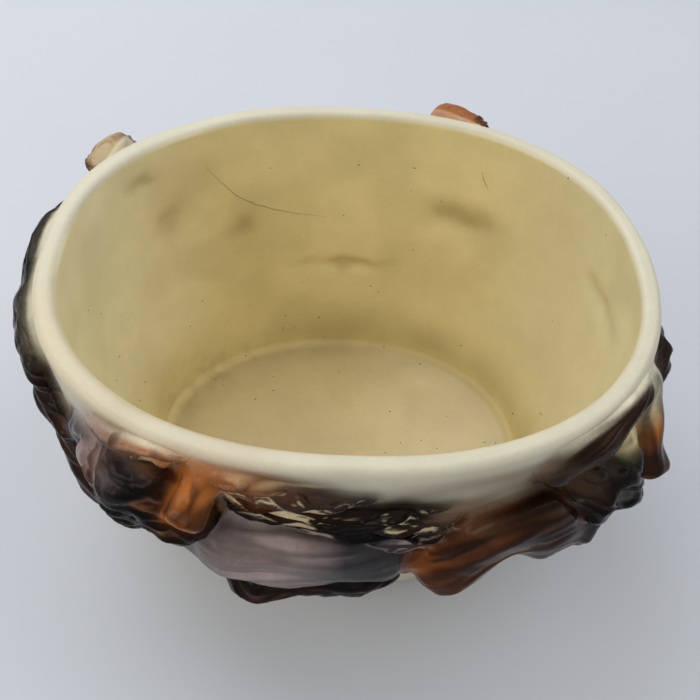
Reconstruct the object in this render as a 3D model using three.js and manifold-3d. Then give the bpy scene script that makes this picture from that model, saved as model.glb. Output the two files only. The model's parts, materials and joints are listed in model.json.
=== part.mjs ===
// Oval ceramic planter pot with a rustic relief of gnarled branches round its wall.
// Millimetres, +Z up, origin at the centre of the flat underside, front towards -Y.
// Each ornament is a sprig: a solid of its own, shaped to the wall that it is luted to.

import * as THREE from "three";
import { mergeVertices } from "three/addons/utils/BufferGeometryUtils.js";
import Module from "manifold-3d";

const wasm = await Module();
wasm.setup();

// Driving dimensions of the pot
const OPENING_LENGTH = 210;
const OPENING_WIDTH = 171;
const RIM_HEIGHT = 133;
const WALL = 7;
const FLOOR = 7;
const TAPER = 21.6; // how far the wall draws in between rim and floor, all round
const TAPER_POWER = 2; // 1 draws in steadily, more stays upright under the rim
const LIP_ROUND = 2.6; // rounding of the lip's two edges
const HEEL_ROUND = 5; // rounding between wall and underside
const COVE_ROUND = 8; // rounding between inner wall and floor
const RIM_SQUARENESS = 2.25; // exponent of the oval: 2 is an ellipse, more is squarer
const FLOOR_SQUARENESS = 2.1;
const HOLLOW_DEPTH = 2.4; // soft dents that the relief leaves on the inner wall
const HOLLOW_REACH = 15; // from the middle of a dent to where it fades

// Driving dimensions of the relief
const SEAT_GAP = 0.3; // between a sprig and the wall, or between two sprigs
const LIMB_SWELL = 13; // half thickness of the heavy limbs
const LIMB_BREADTH = 16; // half breadth of the heavy limbs, along the wall
const BURL_SWELL = 16;
const BURL_BREADTH = 19;
const STUB_RADIUS = 9;
const STUB_REACH = 19; // from the wall to a stub's sawn end
const TWIG_RADIUS = 5.5;
const STRAND_RADIUS = 3.6; // half thickness of a strand of bark
const STRAND_BREADTH = 4.4;
const STRAND_PITCH = 7.4; // between neighbouring strands, up the wall
const STRAND_TOP = 9; // from the rim down to the topmost strand
const PLATE_SWELL = 5.5; // half thickness of the bark plates at the two ends
const PLATE_BREADTH = 9;
const BUD_RADIUS = 5.5;
const LEAF_SWELL = 2.4; // half thickness of a leaf
const LEAF_BREADTH = 10; // half breadth of a leaf
const LEAF_LOBES = 3;
const KNOT_RADIUS = 11; // of the ring round a healed knot
const KNOT_ROPE = 4.2; // half thickness of that ring
const GNARL = 0.09; // how far a limb's section leaves a plain oval, as a share
const SAW_CHAMFER = 1.1; // worn edge of a sawn end

// Facets
const ROUND_STEPS = 60;
const WALL_STEPS = 9;
const EDGE_STEPS = 3;
const LIMB_SIDES = 9;
const NOSE_STEPS = 3;

const radians = THREE.MathUtils.degToRad;

// How far the wall has drawn in at a height, both inside and outside
function drawIn(height) {
  const depth = Math.max(RIM_HEIGHT - height, 0) / (RIM_HEIGHT - FLOOR);
  return TAPER * depth ** TAPER_POWER;
}

// Point of an oval ring: the inner rim oval moved outwards by `offset`, at `height`.
// The angle runs from +X, anticlockwise seen from above.
function ringPoint(angle, offset, height) {
  const share = THREE.MathUtils.clamp(height / RIM_HEIGHT, 0, 1);
  const squareness = THREE.MathUtils.lerp(FLOOR_SQUARENESS, RIM_SQUARENESS, share);
  const along = Math.cos(angle);
  const across = Math.sin(angle);
  const x = Math.sign(along) * Math.abs(along) ** (2 / squareness);
  const y = Math.sign(across) * Math.abs(across) ** (2 / squareness);
  return new THREE.Vector3(
    (OPENING_LENGTH / 2 + offset) * x,
    (OPENING_WIDTH / 2 + offset) * y,
    height,
  );
}

// Outer wall at an angle in degrees and a share of the rim height
function wallPoint(degrees, share) {
  const height = share * RIM_HEIGHT;
  return ringPoint(radians(degrees), WALL - drawIn(height), height);
}

function wallNormal(degrees, share) {
  const step = 0.5;
  const round = wallPoint(degrees + step, share).sub(wallPoint(degrees - step, share));
  const rise = wallPoint(degrees, share + step / 100).sub(wallPoint(degrees, share - step / 100));
  return round.cross(rise).normalize();
}

// Closed body from rings of equally many points, each joined to the next, with a
// middle point closing each end. It is turned inside out if its volume is negative.
function loft(rings, firstMiddle, lastMiddle) {
  const sides = rings[0].length;
  const points = [...rings.flat(), firstMiddle, lastMiddle];
  const first = points.length - 2;
  const last = points.length - 1;
  const triangles = [];
  for (let ring = 0; ring + 1 < rings.length; ring += 1) {
    for (let side = 0; side < sides; side += 1) {
      const a = ring * sides + side;
      const b = ring * sides + ((side + 1) % sides);
      triangles.push([a, b, b + sides], [a, b + sides, a + sides]);
    }
  }
  const top = (rings.length - 1) * sides;
  for (let side = 0; side < sides; side += 1) {
    const next = (side + 1) % sides;
    triangles.push([first, next, side], [last, top + side, top + next]);
  }
  const volume = triangles.reduce((sum, [a, b, c]) => {
    const normal = points[b].clone().cross(points[c]);
    return sum + points[a].dot(normal);
  }, 0);
  const outward = volume > 0 ? triangles : triangles.map(([a, b, c]) => [a, c, b]);
  const geometry = new THREE.BufferGeometry();
  geometry.setFromPoints(points);
  geometry.setIndex(outward.flat());
  return geometry;
}

function solidOf(geometry) {
  const plain = geometry.clone();
  plain.deleteAttribute("normal");
  plain.deleteAttribute("uv");
  const merged = mergeVertices(plain, 1e-4);
  return new wasm.Manifold(new wasm.Mesh({
    numProp: 3,
    vertProperties: new Float32Array(merged.attributes.position.array),
    triVerts: new Uint32Array(merged.index.array),
  }));
}

function geometryOf(solid) {
  const mesh = solid.getMesh();
  const geometry = new THREE.BufferGeometry();
  const vertices = new Float32Array(mesh.vertProperties);
  geometry.setAttribute("position", new THREE.BufferAttribute(vertices, 3));
  geometry.setIndex(new THREE.BufferAttribute(new Uint32Array(mesh.triVerts), 1));
  return geometry;
}

// What a cut leaves of a piece is its largest body
function largestBody(solid) {
  const bodies = solid.decompose();
  return bodies.reduce((best, body) => (body.volume() > best.volume() ? body : best));
}

// The pot itself

// Dents on the inner wall, each by its angle in degrees, its height as a share of the
// rim height, its spread along the wall and its depth, both against the usual dent
const HOLLOWS = [
  { at: 61, up: 0.65, spread: 1.2, depth: 1.0 },
  { at: 88, up: 0.38, spread: 2.0, depth: 0.5 },
  { at: 117, up: 0.59, spread: 0.8, depth: 0.6 },
  { at: 140, up: 0.76, spread: 1.2, depth: 0.6 },
  { at: 6, up: 0.72, spread: 1.2, depth: 0.8 },
  { at: 240, up: 0.74, spread: 1.4, depth: 0.9 },
  { at: 266, up: 0.6, spread: 1.8, depth: 0.7 },
  { at: 303, up: 0.64, spread: 1.8, depth: 0.8 },
  { at: 325, up: 0.76, spread: 1.1, depth: 1.0 },
];

function dent(angle, height) {
  return HOLLOWS.reduce((sum, { at, up, spread, depth }) => {
    const turn = THREE.MathUtils.euclideanModulo(angle - radians(at) + Math.PI, 2 * Math.PI);
    const along = (turn - Math.PI) * (OPENING_LENGTH + OPENING_WIDTH) / 4;
    const above = height - up * RIM_HEIGHT;
    const far = (along / (spread * HOLLOW_REACH)) ** 2 + (above / HOLLOW_REACH) ** 2;
    return sum + HOLLOW_DEPTH * depth * Math.exp(-2 * far);
  }, 0);
}

// Rounded edge in the plane of offset and height, from one angle to another
function edgeArc(offset, height, radius, fromDegrees, toDegrees) {
  return Array.from({ length: EDGE_STEPS + 1 }, (_, step) => {
    const turn = radians(THREE.MathUtils.lerp(fromDegrees, toDegrees, step / EDGE_STEPS));
    return [offset + radius * Math.cos(turn), height + radius * Math.sin(turn)];
  });
}

function wallHeights(low, high) {
  return Array.from({ length: WALL_STEPS - 1 }, (_, step) => (
    THREE.MathUtils.lerp(low, high, (step + 1) / WALL_STEPS)
  ));
}

const SPRING_LINE = RIM_HEIGHT - LIP_ROUND; // where the lip's rounding starts
const COVE_TOP = FLOOR + COVE_ROUND;

function outerProfile() {
  const heel = edgeArc(WALL - drawIn(0) - HEEL_ROUND, HEEL_ROUND, HEEL_ROUND, -90, 0);
  const wall = wallHeights(HEEL_ROUND, SPRING_LINE).map((height) => [
    WALL - drawIn(height),
    height,
  ]);
  return [...heel, ...wall];
}

function bodyProfile() {
  const lip = [
    ...edgeArc(WALL - LIP_ROUND, SPRING_LINE, LIP_ROUND, 0, 90),
    ...edgeArc(LIP_ROUND, SPRING_LINE, LIP_ROUND, 90, 180),
  ];
  const inner = wallHeights(COVE_TOP, SPRING_LINE).reverse().map((height) => [
    -drawIn(height),
    height,
  ]);
  const cove = edgeArc(-drawIn(COVE_TOP) - COVE_ROUND, COVE_TOP, COVE_ROUND, 0, -90);
  return { outside: [...outerProfile(), ...lip], inside: [...inner, ...cove] };
}

function ringOf(offset, height, dented) {
  return Array.from({ length: ROUND_STEPS }, (_, step) => {
    const angle = 2 * Math.PI * step / ROUND_STEPS;
    const more = dented ? dent(angle, height) : 0;
    return ringPoint(angle, offset + more, height);
  });
}

function potBody() {
  const { outside, inside } = bodyProfile();
  const rings = [
    ...outside.map(([offset, height]) => ringOf(offset, height, false)),
    ...inside.map(([offset, height]) => ringOf(offset, height, height > COVE_TOP)),
  ];
  return loft(rings, new THREE.Vector3(0, 0, 0), new THREE.Vector3(0, 0, FLOOR));
}

// The wall's outside as a full block, grown by the seat's gap and carried on above the
// rim, which gives each sprig its back
function wallBlock() {
  const above = RIM_HEIGHT / 2;
  const profile = [
    [WALL - drawIn(0) + SEAT_GAP, -1],
    ...outerProfile().slice(EDGE_STEPS).map(([offset, height]) => [offset + SEAT_GAP, height]),
    [WALL + SEAT_GAP, SPRING_LINE],
    [WALL + SEAT_GAP, RIM_HEIGHT + above],
  ];
  const rings = profile.map(([offset, height]) => ringOf(offset, height, false));
  return loft(
    rings,
    new THREE.Vector3(0, 0, -1),
    new THREE.Vector3(0, 0, RIM_HEIGHT + above),
  );
}

// The relief

// Limb along the wall. Each station has its angle `at` in degrees, its height `up` as a
// share of the rim height, the distance `out` of its middle from the wall, and its half
// thickness `thick` and half breadth `wide`. Each end is "round" or "sawn".
function limb(sprig, grow = 0) {
  const { stations, ends = ["round", "round"], gnarl = GNARL } = sprig;
  const { sides = LIMB_SIDES, rings = 9, phase = 0 } = sprig;
  const middles = stations.map(({ at, up, out }) => (
    wallPoint(at, up).addScaledVector(wallNormal(at, up), out)
  ));
  const path = new THREE.CatmullRomCurve3(middles);
  const normals = new THREE.CatmullRomCurve3(stations.map(({ at, up }) => wallNormal(at, up)));
  const sizes = new THREE.CatmullRomCurve3(
    stations.map(({ thick, wide }) => new THREE.Vector3(thick, wide, 0)),
  );
  const section = (share, along, shrink) => {
    const tangent = path.getTangent(share).normalize();
    const outward = normals.getPoint(share);
    outward.addScaledVector(tangent, -outward.dot(tangent)).normalize();
    const sideways = tangent.clone().cross(outward);
    const size = sizes.getPoint(share);
    const middle = path.getPoint(share).addScaledVector(tangent, along);
    return Array.from({ length: sides }, (_, side) => {
      const turn = 2 * Math.PI * side / sides;
      const knot = Math.sin(3 * turn + 7 * share + phase) + Math.sin(2 * turn - 11 * share + 2 * phase);
      const swell = 1 + gnarl * knot;
      return middle.clone()
        .addScaledVector(outward, (size.x * swell + grow) * shrink * Math.cos(turn))
        .addScaledVector(sideways, (size.y * swell + grow) * shrink * Math.sin(turn));
    });
  };
  const noseOf = (share, sense, kind) => {
    const size = sizes.getPoint(share);
    const reach = kind === "sawn" ? SAW_CHAMFER : Math.min(size.x, size.y) + grow;
    const steps = kind === "sawn" ? 1 : NOSE_STEPS - 1;
    const nose = Array.from({ length: steps }, (_, step) => {
      const turn = (step + 1) * Math.PI / 2 / NOSE_STEPS;
      const shrink = kind === "sawn" ? 1 - SAW_CHAMFER / size.x : Math.cos(turn);
      const along = kind === "sawn" ? reach + grow : reach * Math.sin(turn);
      return section(share, sense * along, shrink);
    });
    const full = kind === "sawn" ? reach + grow : reach;
    const tip = path.getPoint(share).addScaledVector(path.getTangent(share).normalize(), sense * full);
    return { nose, tip };
  };
  const start = noseOf(0, -1, ends[0]);
  const finish = noseOf(1, 1, ends[1]);
  const body = Array.from({ length: rings + 1 }, (_, ring) => section(ring / rings, 0, 1));
  return loft([...start.nose.reverse(), ...body, ...finish.nose], start.tip, finish.tip);
}

// Stub of a sawn-off branch, growing out of the wall at one place towards another. It
// leans sideways by some degrees on its way, and its sawn end has a collar. Its breadth
// along the wall is its radius times `broad`.
function stub(from, to, radius, lean = 0, broad = 1) {
  const along = (share, { out, size }) => ({
    at: THREE.MathUtils.lerp(from.at, to.at, share) + lean * Math.sin(Math.PI * share),
    up: THREE.MathUtils.lerp(from.up, to.up, share),
    out,
    thick: radius * size,
    wide: radius * size * broad,
  });
  return {
    stations: [
      along(0, { out: -WALL / 2, size: 1.2 }),
      along(0.35, { out: to.out * 0.15, size: 0.95 }),
      along(0.75, { out: to.out * 0.65, size: 0.85 }),
      along(1, { out: to.out, size: 1 }),
    ],
    ends: ["round", "sawn"],
    rings: 6,
  };
}

// Strand of bark that weaves up and down on its way from one place to another
function strand(from, to, weave, phase) {
  const count = 5;
  return {
    stations: Array.from({ length: count }, (_, index) => {
      const share = index / (count - 1);
      const slim = 0.55 + 0.45 * Math.sin(Math.PI * share);
      const climb = THREE.MathUtils.lerp(from.up, to.up, share);
      return {
        at: THREE.MathUtils.lerp(from.at, to.at, share),
        up: climb + weave * Math.sin(2 * Math.PI * share + phase),
        out: STRAND_RADIUS / 3,
        thick: STRAND_RADIUS * slim,
        wide: STRAND_BREADTH * slim,
      };
    }),
    gnarl: 0,
    sides: 7,
    rings: 9,
  };
}

// Bark plate: a flat limb lying on the wall
function plate(stations, phase = 0) {
  return {
    stations: stations.map(([at, up, size]) => ({
      at,
      up,
      out: PLATE_SWELL / 3,
      thick: PLATE_SWELL * size,
      wide: PLATE_BREADTH * size,
    })),
    rings: 9,
    phase,
  };
}

// Lobed leaf from its stalk end to its tip
function leaf(from, to) {
  const count = 2 * LEAF_LOBES + 3;
  return {
    stations: Array.from({ length: count }, (_, index) => {
      const share = index / (count - 1);
      const outline = Math.sin(Math.PI * (0.08 + 0.84 * share));
      const lobe = index % 2 === 0 ? 0.7 : 1.1;
      return {
        at: THREE.MathUtils.lerp(from.at, to.at, share),
        up: THREE.MathUtils.lerp(from.up, to.up, share),
        out: LEAF_SWELL / 3,
        thick: LEAF_SWELL,
        wide: LEAF_BREADTH * outline * lobe,
      };
    }),
    gnarl: 0,
    sides: 6,
    rings: 2 * (count - 1),
  };
}

function bud(at, up, size = 1) {
  const middle = { out: BUD_RADIUS / 2, thick: BUD_RADIUS * size, wide: BUD_RADIUS * size };
  return {
    stations: [{ at, up: up + 0.01, ...middle }, { at, up: up - 0.01, ...middle }],
    rings: 1,
    gnarl: 0,
    sides: 10,
  };
}

// Ring of bark round a healed knot, lying on the wall
function knotRing({ at, up }, grow = 0) {
  const ring = new THREE.TorusGeometry(KNOT_RADIUS, KNOT_ROPE + grow, 8, 20);
  const outward = wallNormal(at, up);
  const place = new THREE.Matrix4().lookAt(outward, new THREE.Vector3(), new THREE.Vector3(0, 0, 1));
  place.setPosition(wallPoint(at, up));
  return ring.applyMatrix4(place);
}

const reach = (share) => STUB_REACH * share;

// Lines of strands, one below the other, that sink to the right as they go
const STRAND_LINES = [
  { from: 249, to: 272, fromLine: 0, toLine: 0.9, weave: 0.010, phase: 0, colour: "#5f4e40" },
  { from: 251, to: 284, fromLine: 1, toLine: 2.3, weave: 0.012, phase: 2, colour: "#2b211c" },
  { from: 253, to: 289, fromLine: 2, toLine: 3.5, weave: 0.012, phase: 4, colour: "#4b3a2e" },
  { from: 259, to: 291, fromLine: 3, toLine: 4.7, weave: 0.012, phase: 1, colour: "#2b211c" },
  { from: 268, to: 286, fromLine: 4, toLine: 5.6, weave: 0.008, phase: 3, colour: "#5f4e40" },
];

// Height of a line of strands, as a share of the rim height
function strandUp(line) {
  return 1 - (STRAND_TOP + STRAND_PITCH * line) / RIM_HEIGHT;
}

function frontStrands() {
  return Object.fromEntries(STRAND_LINES.map((line, index) => [
    `front_strand_${index + 1}`,
    {
      colour: line.colour,
      ...strand(
        { at: line.from, up: strandUp(line.fromLine) },
        { at: line.to, up: strandUp(line.toLine) },
        line.weave,
        line.phase,
      ),
    },
  ]));
}

// The sprout at the front reaches up to just below the end of the lowest strand
const SPROUT_TOP = strandUp(STRAND_LINES.at(-1).toLine) - TWIG_RADIUS / RIM_HEIGHT;

// Sprigs in the order in which they are laid on: each gives way to those before it
const SPRIGS = {
  front_log: {
    colour: "#6d5a55",
    stations: [
      { at: 244, up: 0.6, out: 1, thick: LIMB_SWELL * 0.7, wide: LIMB_BREADTH * 0.75 },
      { at: 252, up: 0.62, out: 3, thick: LIMB_SWELL * 0.9, wide: LIMB_BREADTH },
      { at: 263, up: 0.61, out: 3, thick: LIMB_SWELL * 0.9, wide: LIMB_BREADTH },
      { at: 276, up: 0.56, out: 0, thick: LIMB_SWELL * 0.7, wide: LIMB_BREADTH * 0.7 },
    ],
  },
  front_twig: {
    colour: "#3a2320",
    stations: [
      { at: 251, up: 0.45, out: 6, thick: TWIG_RADIUS * 0.9, wide: TWIG_RADIUS * 0.9 },
      { at: 254.5, up: 0.43, out: 10, thick: TWIG_RADIUS * 1.45, wide: TWIG_RADIUS * 1.5 },
      { at: 259, up: 0.44, out: 9, thick: TWIG_RADIUS, wide: TWIG_RADIUS * 1.05 },
      { at: 265, up: 0.455, out: 7, thick: TWIG_RADIUS * 0.85, wide: TWIG_RADIUS * 0.85 },
      { at: 270.5, up: 0.44, out: 7, thick: TWIG_RADIUS * 1.05, wide: TWIG_RADIUS * 1.1 },
      { at: 275, up: 0.425, out: 6, thick: TWIG_RADIUS * 0.75, wide: TWIG_RADIUS * 0.75 },
      { at: 279, up: 0.43, out: 4, thick: TWIG_RADIUS * 0.5, wide: TWIG_RADIUS * 0.5 },
    ],
    gnarl: 0.12,
    sides: 8,
  },
  left_stub: {
    colour: "#946139",
    ...stub({ at: 249, up: 0.9 }, { at: 247, up: 0.84, out: reach(0.7) }, STUB_RADIUS * 0.8),
  },
  left_burl: {
    colour: "#1b1614",
    stations: [
      { at: 230, up: 0.79, out: 1, thick: BURL_SWELL * 0.7, wide: BURL_BREADTH * 0.6 },
      { at: 236, up: 0.79, out: 3, thick: BURL_SWELL * 0.85, wide: BURL_BREADTH * 0.9 },
      { at: 244, up: 0.76, out: 2, thick: BURL_SWELL * 0.8, wide: BURL_BREADTH * 0.85 },
    ],
    rings: 6,
  },
  right_burl: {
    colour: "#171513",
    stations: [
      { at: 311, up: 0.8, out: 3, thick: BURL_SWELL * 0.75, wide: BURL_BREADTH * 0.6 },
      { at: 316, up: 0.75, out: 6, thick: BURL_SWELL * 0.9, wide: BURL_BREADTH * 0.85 },
      { at: 323, up: 0.68, out: 6, thick: BURL_SWELL * 0.8, wide: BURL_BREADTH * 0.7 },
    ],
    rings: 6,
    phase: 2,
  },
  right_limb: {
    colour: "#593719",
    stations: [
      { at: 287, up: 0.54, out: 4, thick: LIMB_SWELL * 0.95, wide: LIMB_BREADTH * 0.85 },
      { at: 292, up: 0.61, out: 4, thick: LIMB_SWELL * 0.85, wide: LIMB_BREADTH * 1.1 },
      { at: 299, up: 0.66, out: 4, thick: LIMB_SWELL * 0.8, wide: LIMB_BREADTH * 1.2 },
      { at: 306, up: 0.66, out: 6, thick: LIMB_SWELL * 0.85, wide: LIMB_BREADTH * 1.1 },
      { at: 313, up: 0.58, out: 7, thick: LIMB_SWELL, wide: LIMB_BREADTH * 0.9 },
    ],
    phase: 1,
  },
  right_stub: {
    colour: "#a0622c",
    ...stub({ at: 333, up: 0.88 }, { at: 326, up: 0.71, out: reach(0.9) }, STUB_RADIUS * 1.05),
  },
  right_arm: {
    colour: "#4a2c16",
    stations: [
      { at: 304, up: 0.87, out: 0, thick: LIMB_SWELL * 0.45, wide: LIMB_BREADTH * 0.45 },
      { at: 310, up: 0.91, out: 0, thick: LIMB_SWELL * 0.5, wide: LIMB_BREADTH * 0.55 },
      { at: 318, up: 0.92, out: 0, thick: LIMB_SWELL * 0.45, wide: LIMB_BREADTH * 0.5 },
      { at: 328, up: 0.94, out: 0, thick: LIMB_SWELL * 0.35, wide: LIMB_BREADTH * 0.35 },
    ],
    rings: 8,
  },
  right_bud: { colour: "#b5a06c", ...bud(321, 0.84, 1.3) },
  right_end_plate_upper: {
    colour: "#2c1c14",
    ...plate([[336, 0.78, 0.9], [343, 0.82, 1.2], [351, 0.8, 1.2], [361, 0.75, 0.8]]),
  },
  right_end_limb: {
    colour: "#3b2717",
    stations: [
      { at: 322, up: 0.56, out: 1, thick: LIMB_SWELL * 0.8, wide: LIMB_BREADTH * 0.7 },
      { at: 338, up: 0.59, out: 1, thick: LIMB_SWELL * 0.8, wide: LIMB_BREADTH * 0.75 },
      { at: 354, up: 0.55, out: 0, thick: LIMB_SWELL * 0.7, wide: LIMB_BREADTH * 0.65 },
      { at: 371, up: 0.58, out: 0, thick: LIMB_SWELL * 0.65, wide: LIMB_BREADTH * 0.6 },
      { at: 387, up: 0.6, out: 0, thick: LIMB_SWELL * 0.6, wide: LIMB_BREADTH * 0.55 },
    ],
    rings: 10,
    phase: 3,
  },
  left_knot_heart: { colour: "#7c6a66", ...bud(222, 0.74, 1.1) },
  left_end_plate_upper: {
    colour: "#2a1d17",
    ...plate([[206, 0.87, 0.9], [195, 0.88, 1.1], [182, 0.87, 1.2], [170, 0.89, 1.1], [158, 0.88, 0.9]]),
  },
  left_end_plate_lower: {
    colour: "#3d2c21",
    ...plate([[212, 0.72, 0.9], [201, 0.74, 1.2], [188, 0.72, 1.2], [175, 0.75, 1.1], [164, 0.74, 0.8]], 1),
  },
  left_end_limb: {
    colour: "#33261f",
    stations: [
      { at: 228, up: 0.59, out: 1, thick: LIMB_SWELL * 0.75, wide: LIMB_BREADTH * 0.65 },
      { at: 214, up: 0.55, out: 1, thick: LIMB_SWELL * 0.75, wide: LIMB_BREADTH * 0.7 },
      { at: 199, up: 0.57, out: 0, thick: LIMB_SWELL * 0.7, wide: LIMB_BREADTH * 0.65 },
      { at: 183, up: 0.54, out: 0, thick: LIMB_SWELL * 0.7, wide: LIMB_BREADTH * 0.65 },
      { at: 168, up: 0.56, out: 1, thick: LIMB_SWELL * 0.75, wide: LIMB_BREADTH * 0.7 },
      { at: 153, up: 0.58, out: 1, thick: LIMB_SWELL * 0.7, wide: LIMB_BREADTH * 0.65 },
    ],
    rings: 12,
    phase: 2,
  },
  back_limb: {
    colour: "#4b3527",
    stations: [
      { at: 149, up: 0.57, out: 1, thick: LIMB_SWELL * 0.7, wide: LIMB_BREADTH * 0.65 },
      { at: 134, up: 0.61, out: 1, thick: LIMB_SWELL * 0.75, wide: LIMB_BREADTH * 0.75 },
      { at: 117, up: 0.68, out: 2, thick: LIMB_SWELL * 0.85, wide: LIMB_BREADTH * 0.85 },
      { at: 98, up: 0.66, out: 1, thick: LIMB_SWELL * 0.75, wide: LIMB_BREADTH * 0.7 },
      { at: 80, up: 0.57, out: 1, thick: LIMB_SWELL * 0.75, wide: LIMB_BREADTH * 0.7 },
      { at: 62, up: 0.55, out: 2, thick: LIMB_SWELL * 0.85, wide: LIMB_BREADTH * 0.8 },
      { at: 46, up: 0.6, out: 0, thick: LIMB_SWELL * 0.7, wide: LIMB_BREADTH * 0.6 },
      { at: 32, up: 0.61, out: 0, thick: LIMB_SWELL * 0.6, wide: LIMB_BREADTH * 0.55 },
    ],
    rings: 14,
  },
  back_left_stub: {
    colour: "#a5683f",
    ...stub({ at: 141, up: 0.65 }, { at: 146, up: 0.97, out: reach(0.28) }, STUB_RADIUS * 0.95, -3, 1.4),
  },
  back_right_stub: {
    colour: "#8c4a2c",
    ...stub({ at: 62, up: 0.6 }, { at: 68, up: 0.975, out: reach(0.28) }, STUB_RADIUS * 0.95, 4, 1.6),
  },
  back_twig: {
    colour: "#3a2320",
    stations: [
      { at: 103, up: 0.62, out: 1, thick: TWIG_RADIUS * 0.9, wide: TWIG_RADIUS * 0.9 },
      { at: 100, up: 0.5, out: 1, thick: TWIG_RADIUS * 0.7, wide: TWIG_RADIUS * 0.7 },
      { at: 94, up: 0.4, out: 1, thick: TWIG_RADIUS * 0.6, wide: TWIG_RADIUS * 0.6 },
      { at: 85, up: 0.33, out: 1, thick: TWIG_RADIUS * 0.5, wide: TWIG_RADIUS * 0.5 },
    ],
    sides: 8,
  },
  back_leaf_upper: { colour: "#7a5a2e", ...leaf({ at: 102, up: 0.5 }, { at: 121, up: 0.42 }) },
  back_leaf_middle: { colour: "#8a5f2c", ...leaf({ at: 97, up: 0.4 }, { at: 107, up: 0.22 }) },
  back_leaf_lower: { colour: "#6d4d28", ...leaf({ at: 85, up: 0.33 }, { at: 66, up: 0.28 }) },
  front_bud_upper: { colour: "#241a18", ...bud(248, 0.465, 0.9) },
  front_bud_lower: { colour: "#2d2422", ...bud(245.5, 0.4, 0.75) },
  front_sprout: {
    colour: "#7a4526",
    stations: [
      { at: 277, up: SPROUT_TOP - 0.08, out: 2, thick: TWIG_RADIUS * 0.5, wide: TWIG_RADIUS * 0.5 },
      { at: 279.5, up: SPROUT_TOP - 0.05, out: 3, thick: TWIG_RADIUS * 0.9, wide: TWIG_RADIUS * 0.9 },
      { at: 282, up: SPROUT_TOP, out: 3, thick: TWIG_RADIUS, wide: TWIG_RADIUS },
    ],
    rings: 5,
  },
  ...frontStrands(),
  left_strand: { colour: "#8a6a45", ...strand({ at: 226, up: 0.94 }, { at: 246, up: 0.955 }, 0.006, 3) },
};

const KNOTS = {
  left_knot_ring: { colour: "#5a4a46", at: 222, up: 0.74 },
};

// Each sprig gives way to the wall and to the sprigs laid before it
function laySprigs() {
  const wall = solidOf(wallBlock());
  const laid = [];
  const shapes = {
    ...Object.fromEntries(Object.entries(SPRIGS).map(([name, sprig]) => [
      name,
      { colour: sprig.colour, shape: (grow) => limb(sprig, grow) },
    ])),
    ...Object.fromEntries(Object.entries(KNOTS).map(([name, knot]) => [
      name,
      { colour: knot.colour, shape: (grow) => knotRing(knot, grow) },
    ])),
  };
  return Object.entries(shapes).map(([name, { colour, shape }]) => {
    const near = laid.reduce((solid, other) => solid.subtract(other), solidOf(shape(0)));
    laid.push(solidOf(shape(SEAT_GAP)));
    return { name, colour, geometry: geometryOf(largestBody(near.subtract(wall))) };
  });
}

function glazed(colour, roughness = 0.25) {
  return new THREE.MeshStandardMaterial({ color: colour, roughness, metalness: 0, flatShading: true });
}

const planter = new THREE.Group();
const body = new THREE.Mesh(potBody(), glazed("#dcd5bd"));
body.name = "pot_body";
planter.add(body);
for (const { name, colour, geometry } of laySprigs()) {
  const sprig = new THREE.Mesh(geometry, glazed(colour));
  sprig.name = name;
  planter.add(sprig);
}

export default planter;
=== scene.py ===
"""Oval glazed planter pot with a rustic relief of branches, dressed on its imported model.

Blender works in metres and the shaping code in millimetres. +Z is up and the front looks
towards -Y. Angles run in degrees from +X, anticlockwise seen from above. The place of a
thing on the wall is its angle and its height as a share of the rim's height. Points and
normals are arrays of rows, and what is worked out for them is an array of the same length.
"""

import json
import logging
import math
from collections.abc import Sequence
from dataclasses import dataclass, field
from enum import Enum
from functools import partial
from typing import Any

import bpy
import numpy as np
import openvdb
from mathutils import Matrix, Vector

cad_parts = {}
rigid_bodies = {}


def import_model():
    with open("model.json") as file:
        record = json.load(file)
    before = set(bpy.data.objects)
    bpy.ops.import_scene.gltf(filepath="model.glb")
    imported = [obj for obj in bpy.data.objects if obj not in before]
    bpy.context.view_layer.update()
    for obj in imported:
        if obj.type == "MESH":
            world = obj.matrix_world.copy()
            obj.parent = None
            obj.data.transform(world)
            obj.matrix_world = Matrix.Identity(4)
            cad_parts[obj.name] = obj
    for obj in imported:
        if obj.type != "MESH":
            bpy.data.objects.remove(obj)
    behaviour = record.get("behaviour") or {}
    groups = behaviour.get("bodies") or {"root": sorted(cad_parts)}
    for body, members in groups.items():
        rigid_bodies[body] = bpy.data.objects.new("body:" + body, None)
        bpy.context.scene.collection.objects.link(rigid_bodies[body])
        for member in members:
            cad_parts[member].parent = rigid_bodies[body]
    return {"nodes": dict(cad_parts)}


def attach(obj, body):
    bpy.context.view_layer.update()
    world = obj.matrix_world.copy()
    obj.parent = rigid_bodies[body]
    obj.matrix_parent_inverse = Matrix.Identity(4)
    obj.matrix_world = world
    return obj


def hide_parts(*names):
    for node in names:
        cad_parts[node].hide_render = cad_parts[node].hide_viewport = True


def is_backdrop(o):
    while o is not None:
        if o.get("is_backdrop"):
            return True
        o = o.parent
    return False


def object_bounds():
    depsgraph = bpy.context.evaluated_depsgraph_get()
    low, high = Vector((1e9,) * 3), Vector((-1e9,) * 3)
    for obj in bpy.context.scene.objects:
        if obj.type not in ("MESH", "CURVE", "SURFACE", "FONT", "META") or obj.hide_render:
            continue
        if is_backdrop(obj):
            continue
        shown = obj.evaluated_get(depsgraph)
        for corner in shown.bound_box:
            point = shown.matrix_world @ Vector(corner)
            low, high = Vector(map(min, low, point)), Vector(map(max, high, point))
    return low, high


Array = np.ndarray
Place = tuple[float, float, float]
Material, Mesh, Node = bpy.types.Material, bpy.types.Mesh, bpy.types.Node
Piece, Socket, Tree = bpy.types.Object, bpy.types.NodeSocket, bpy.types.NodeTree

LOG = logging.getLogger("planter")

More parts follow.
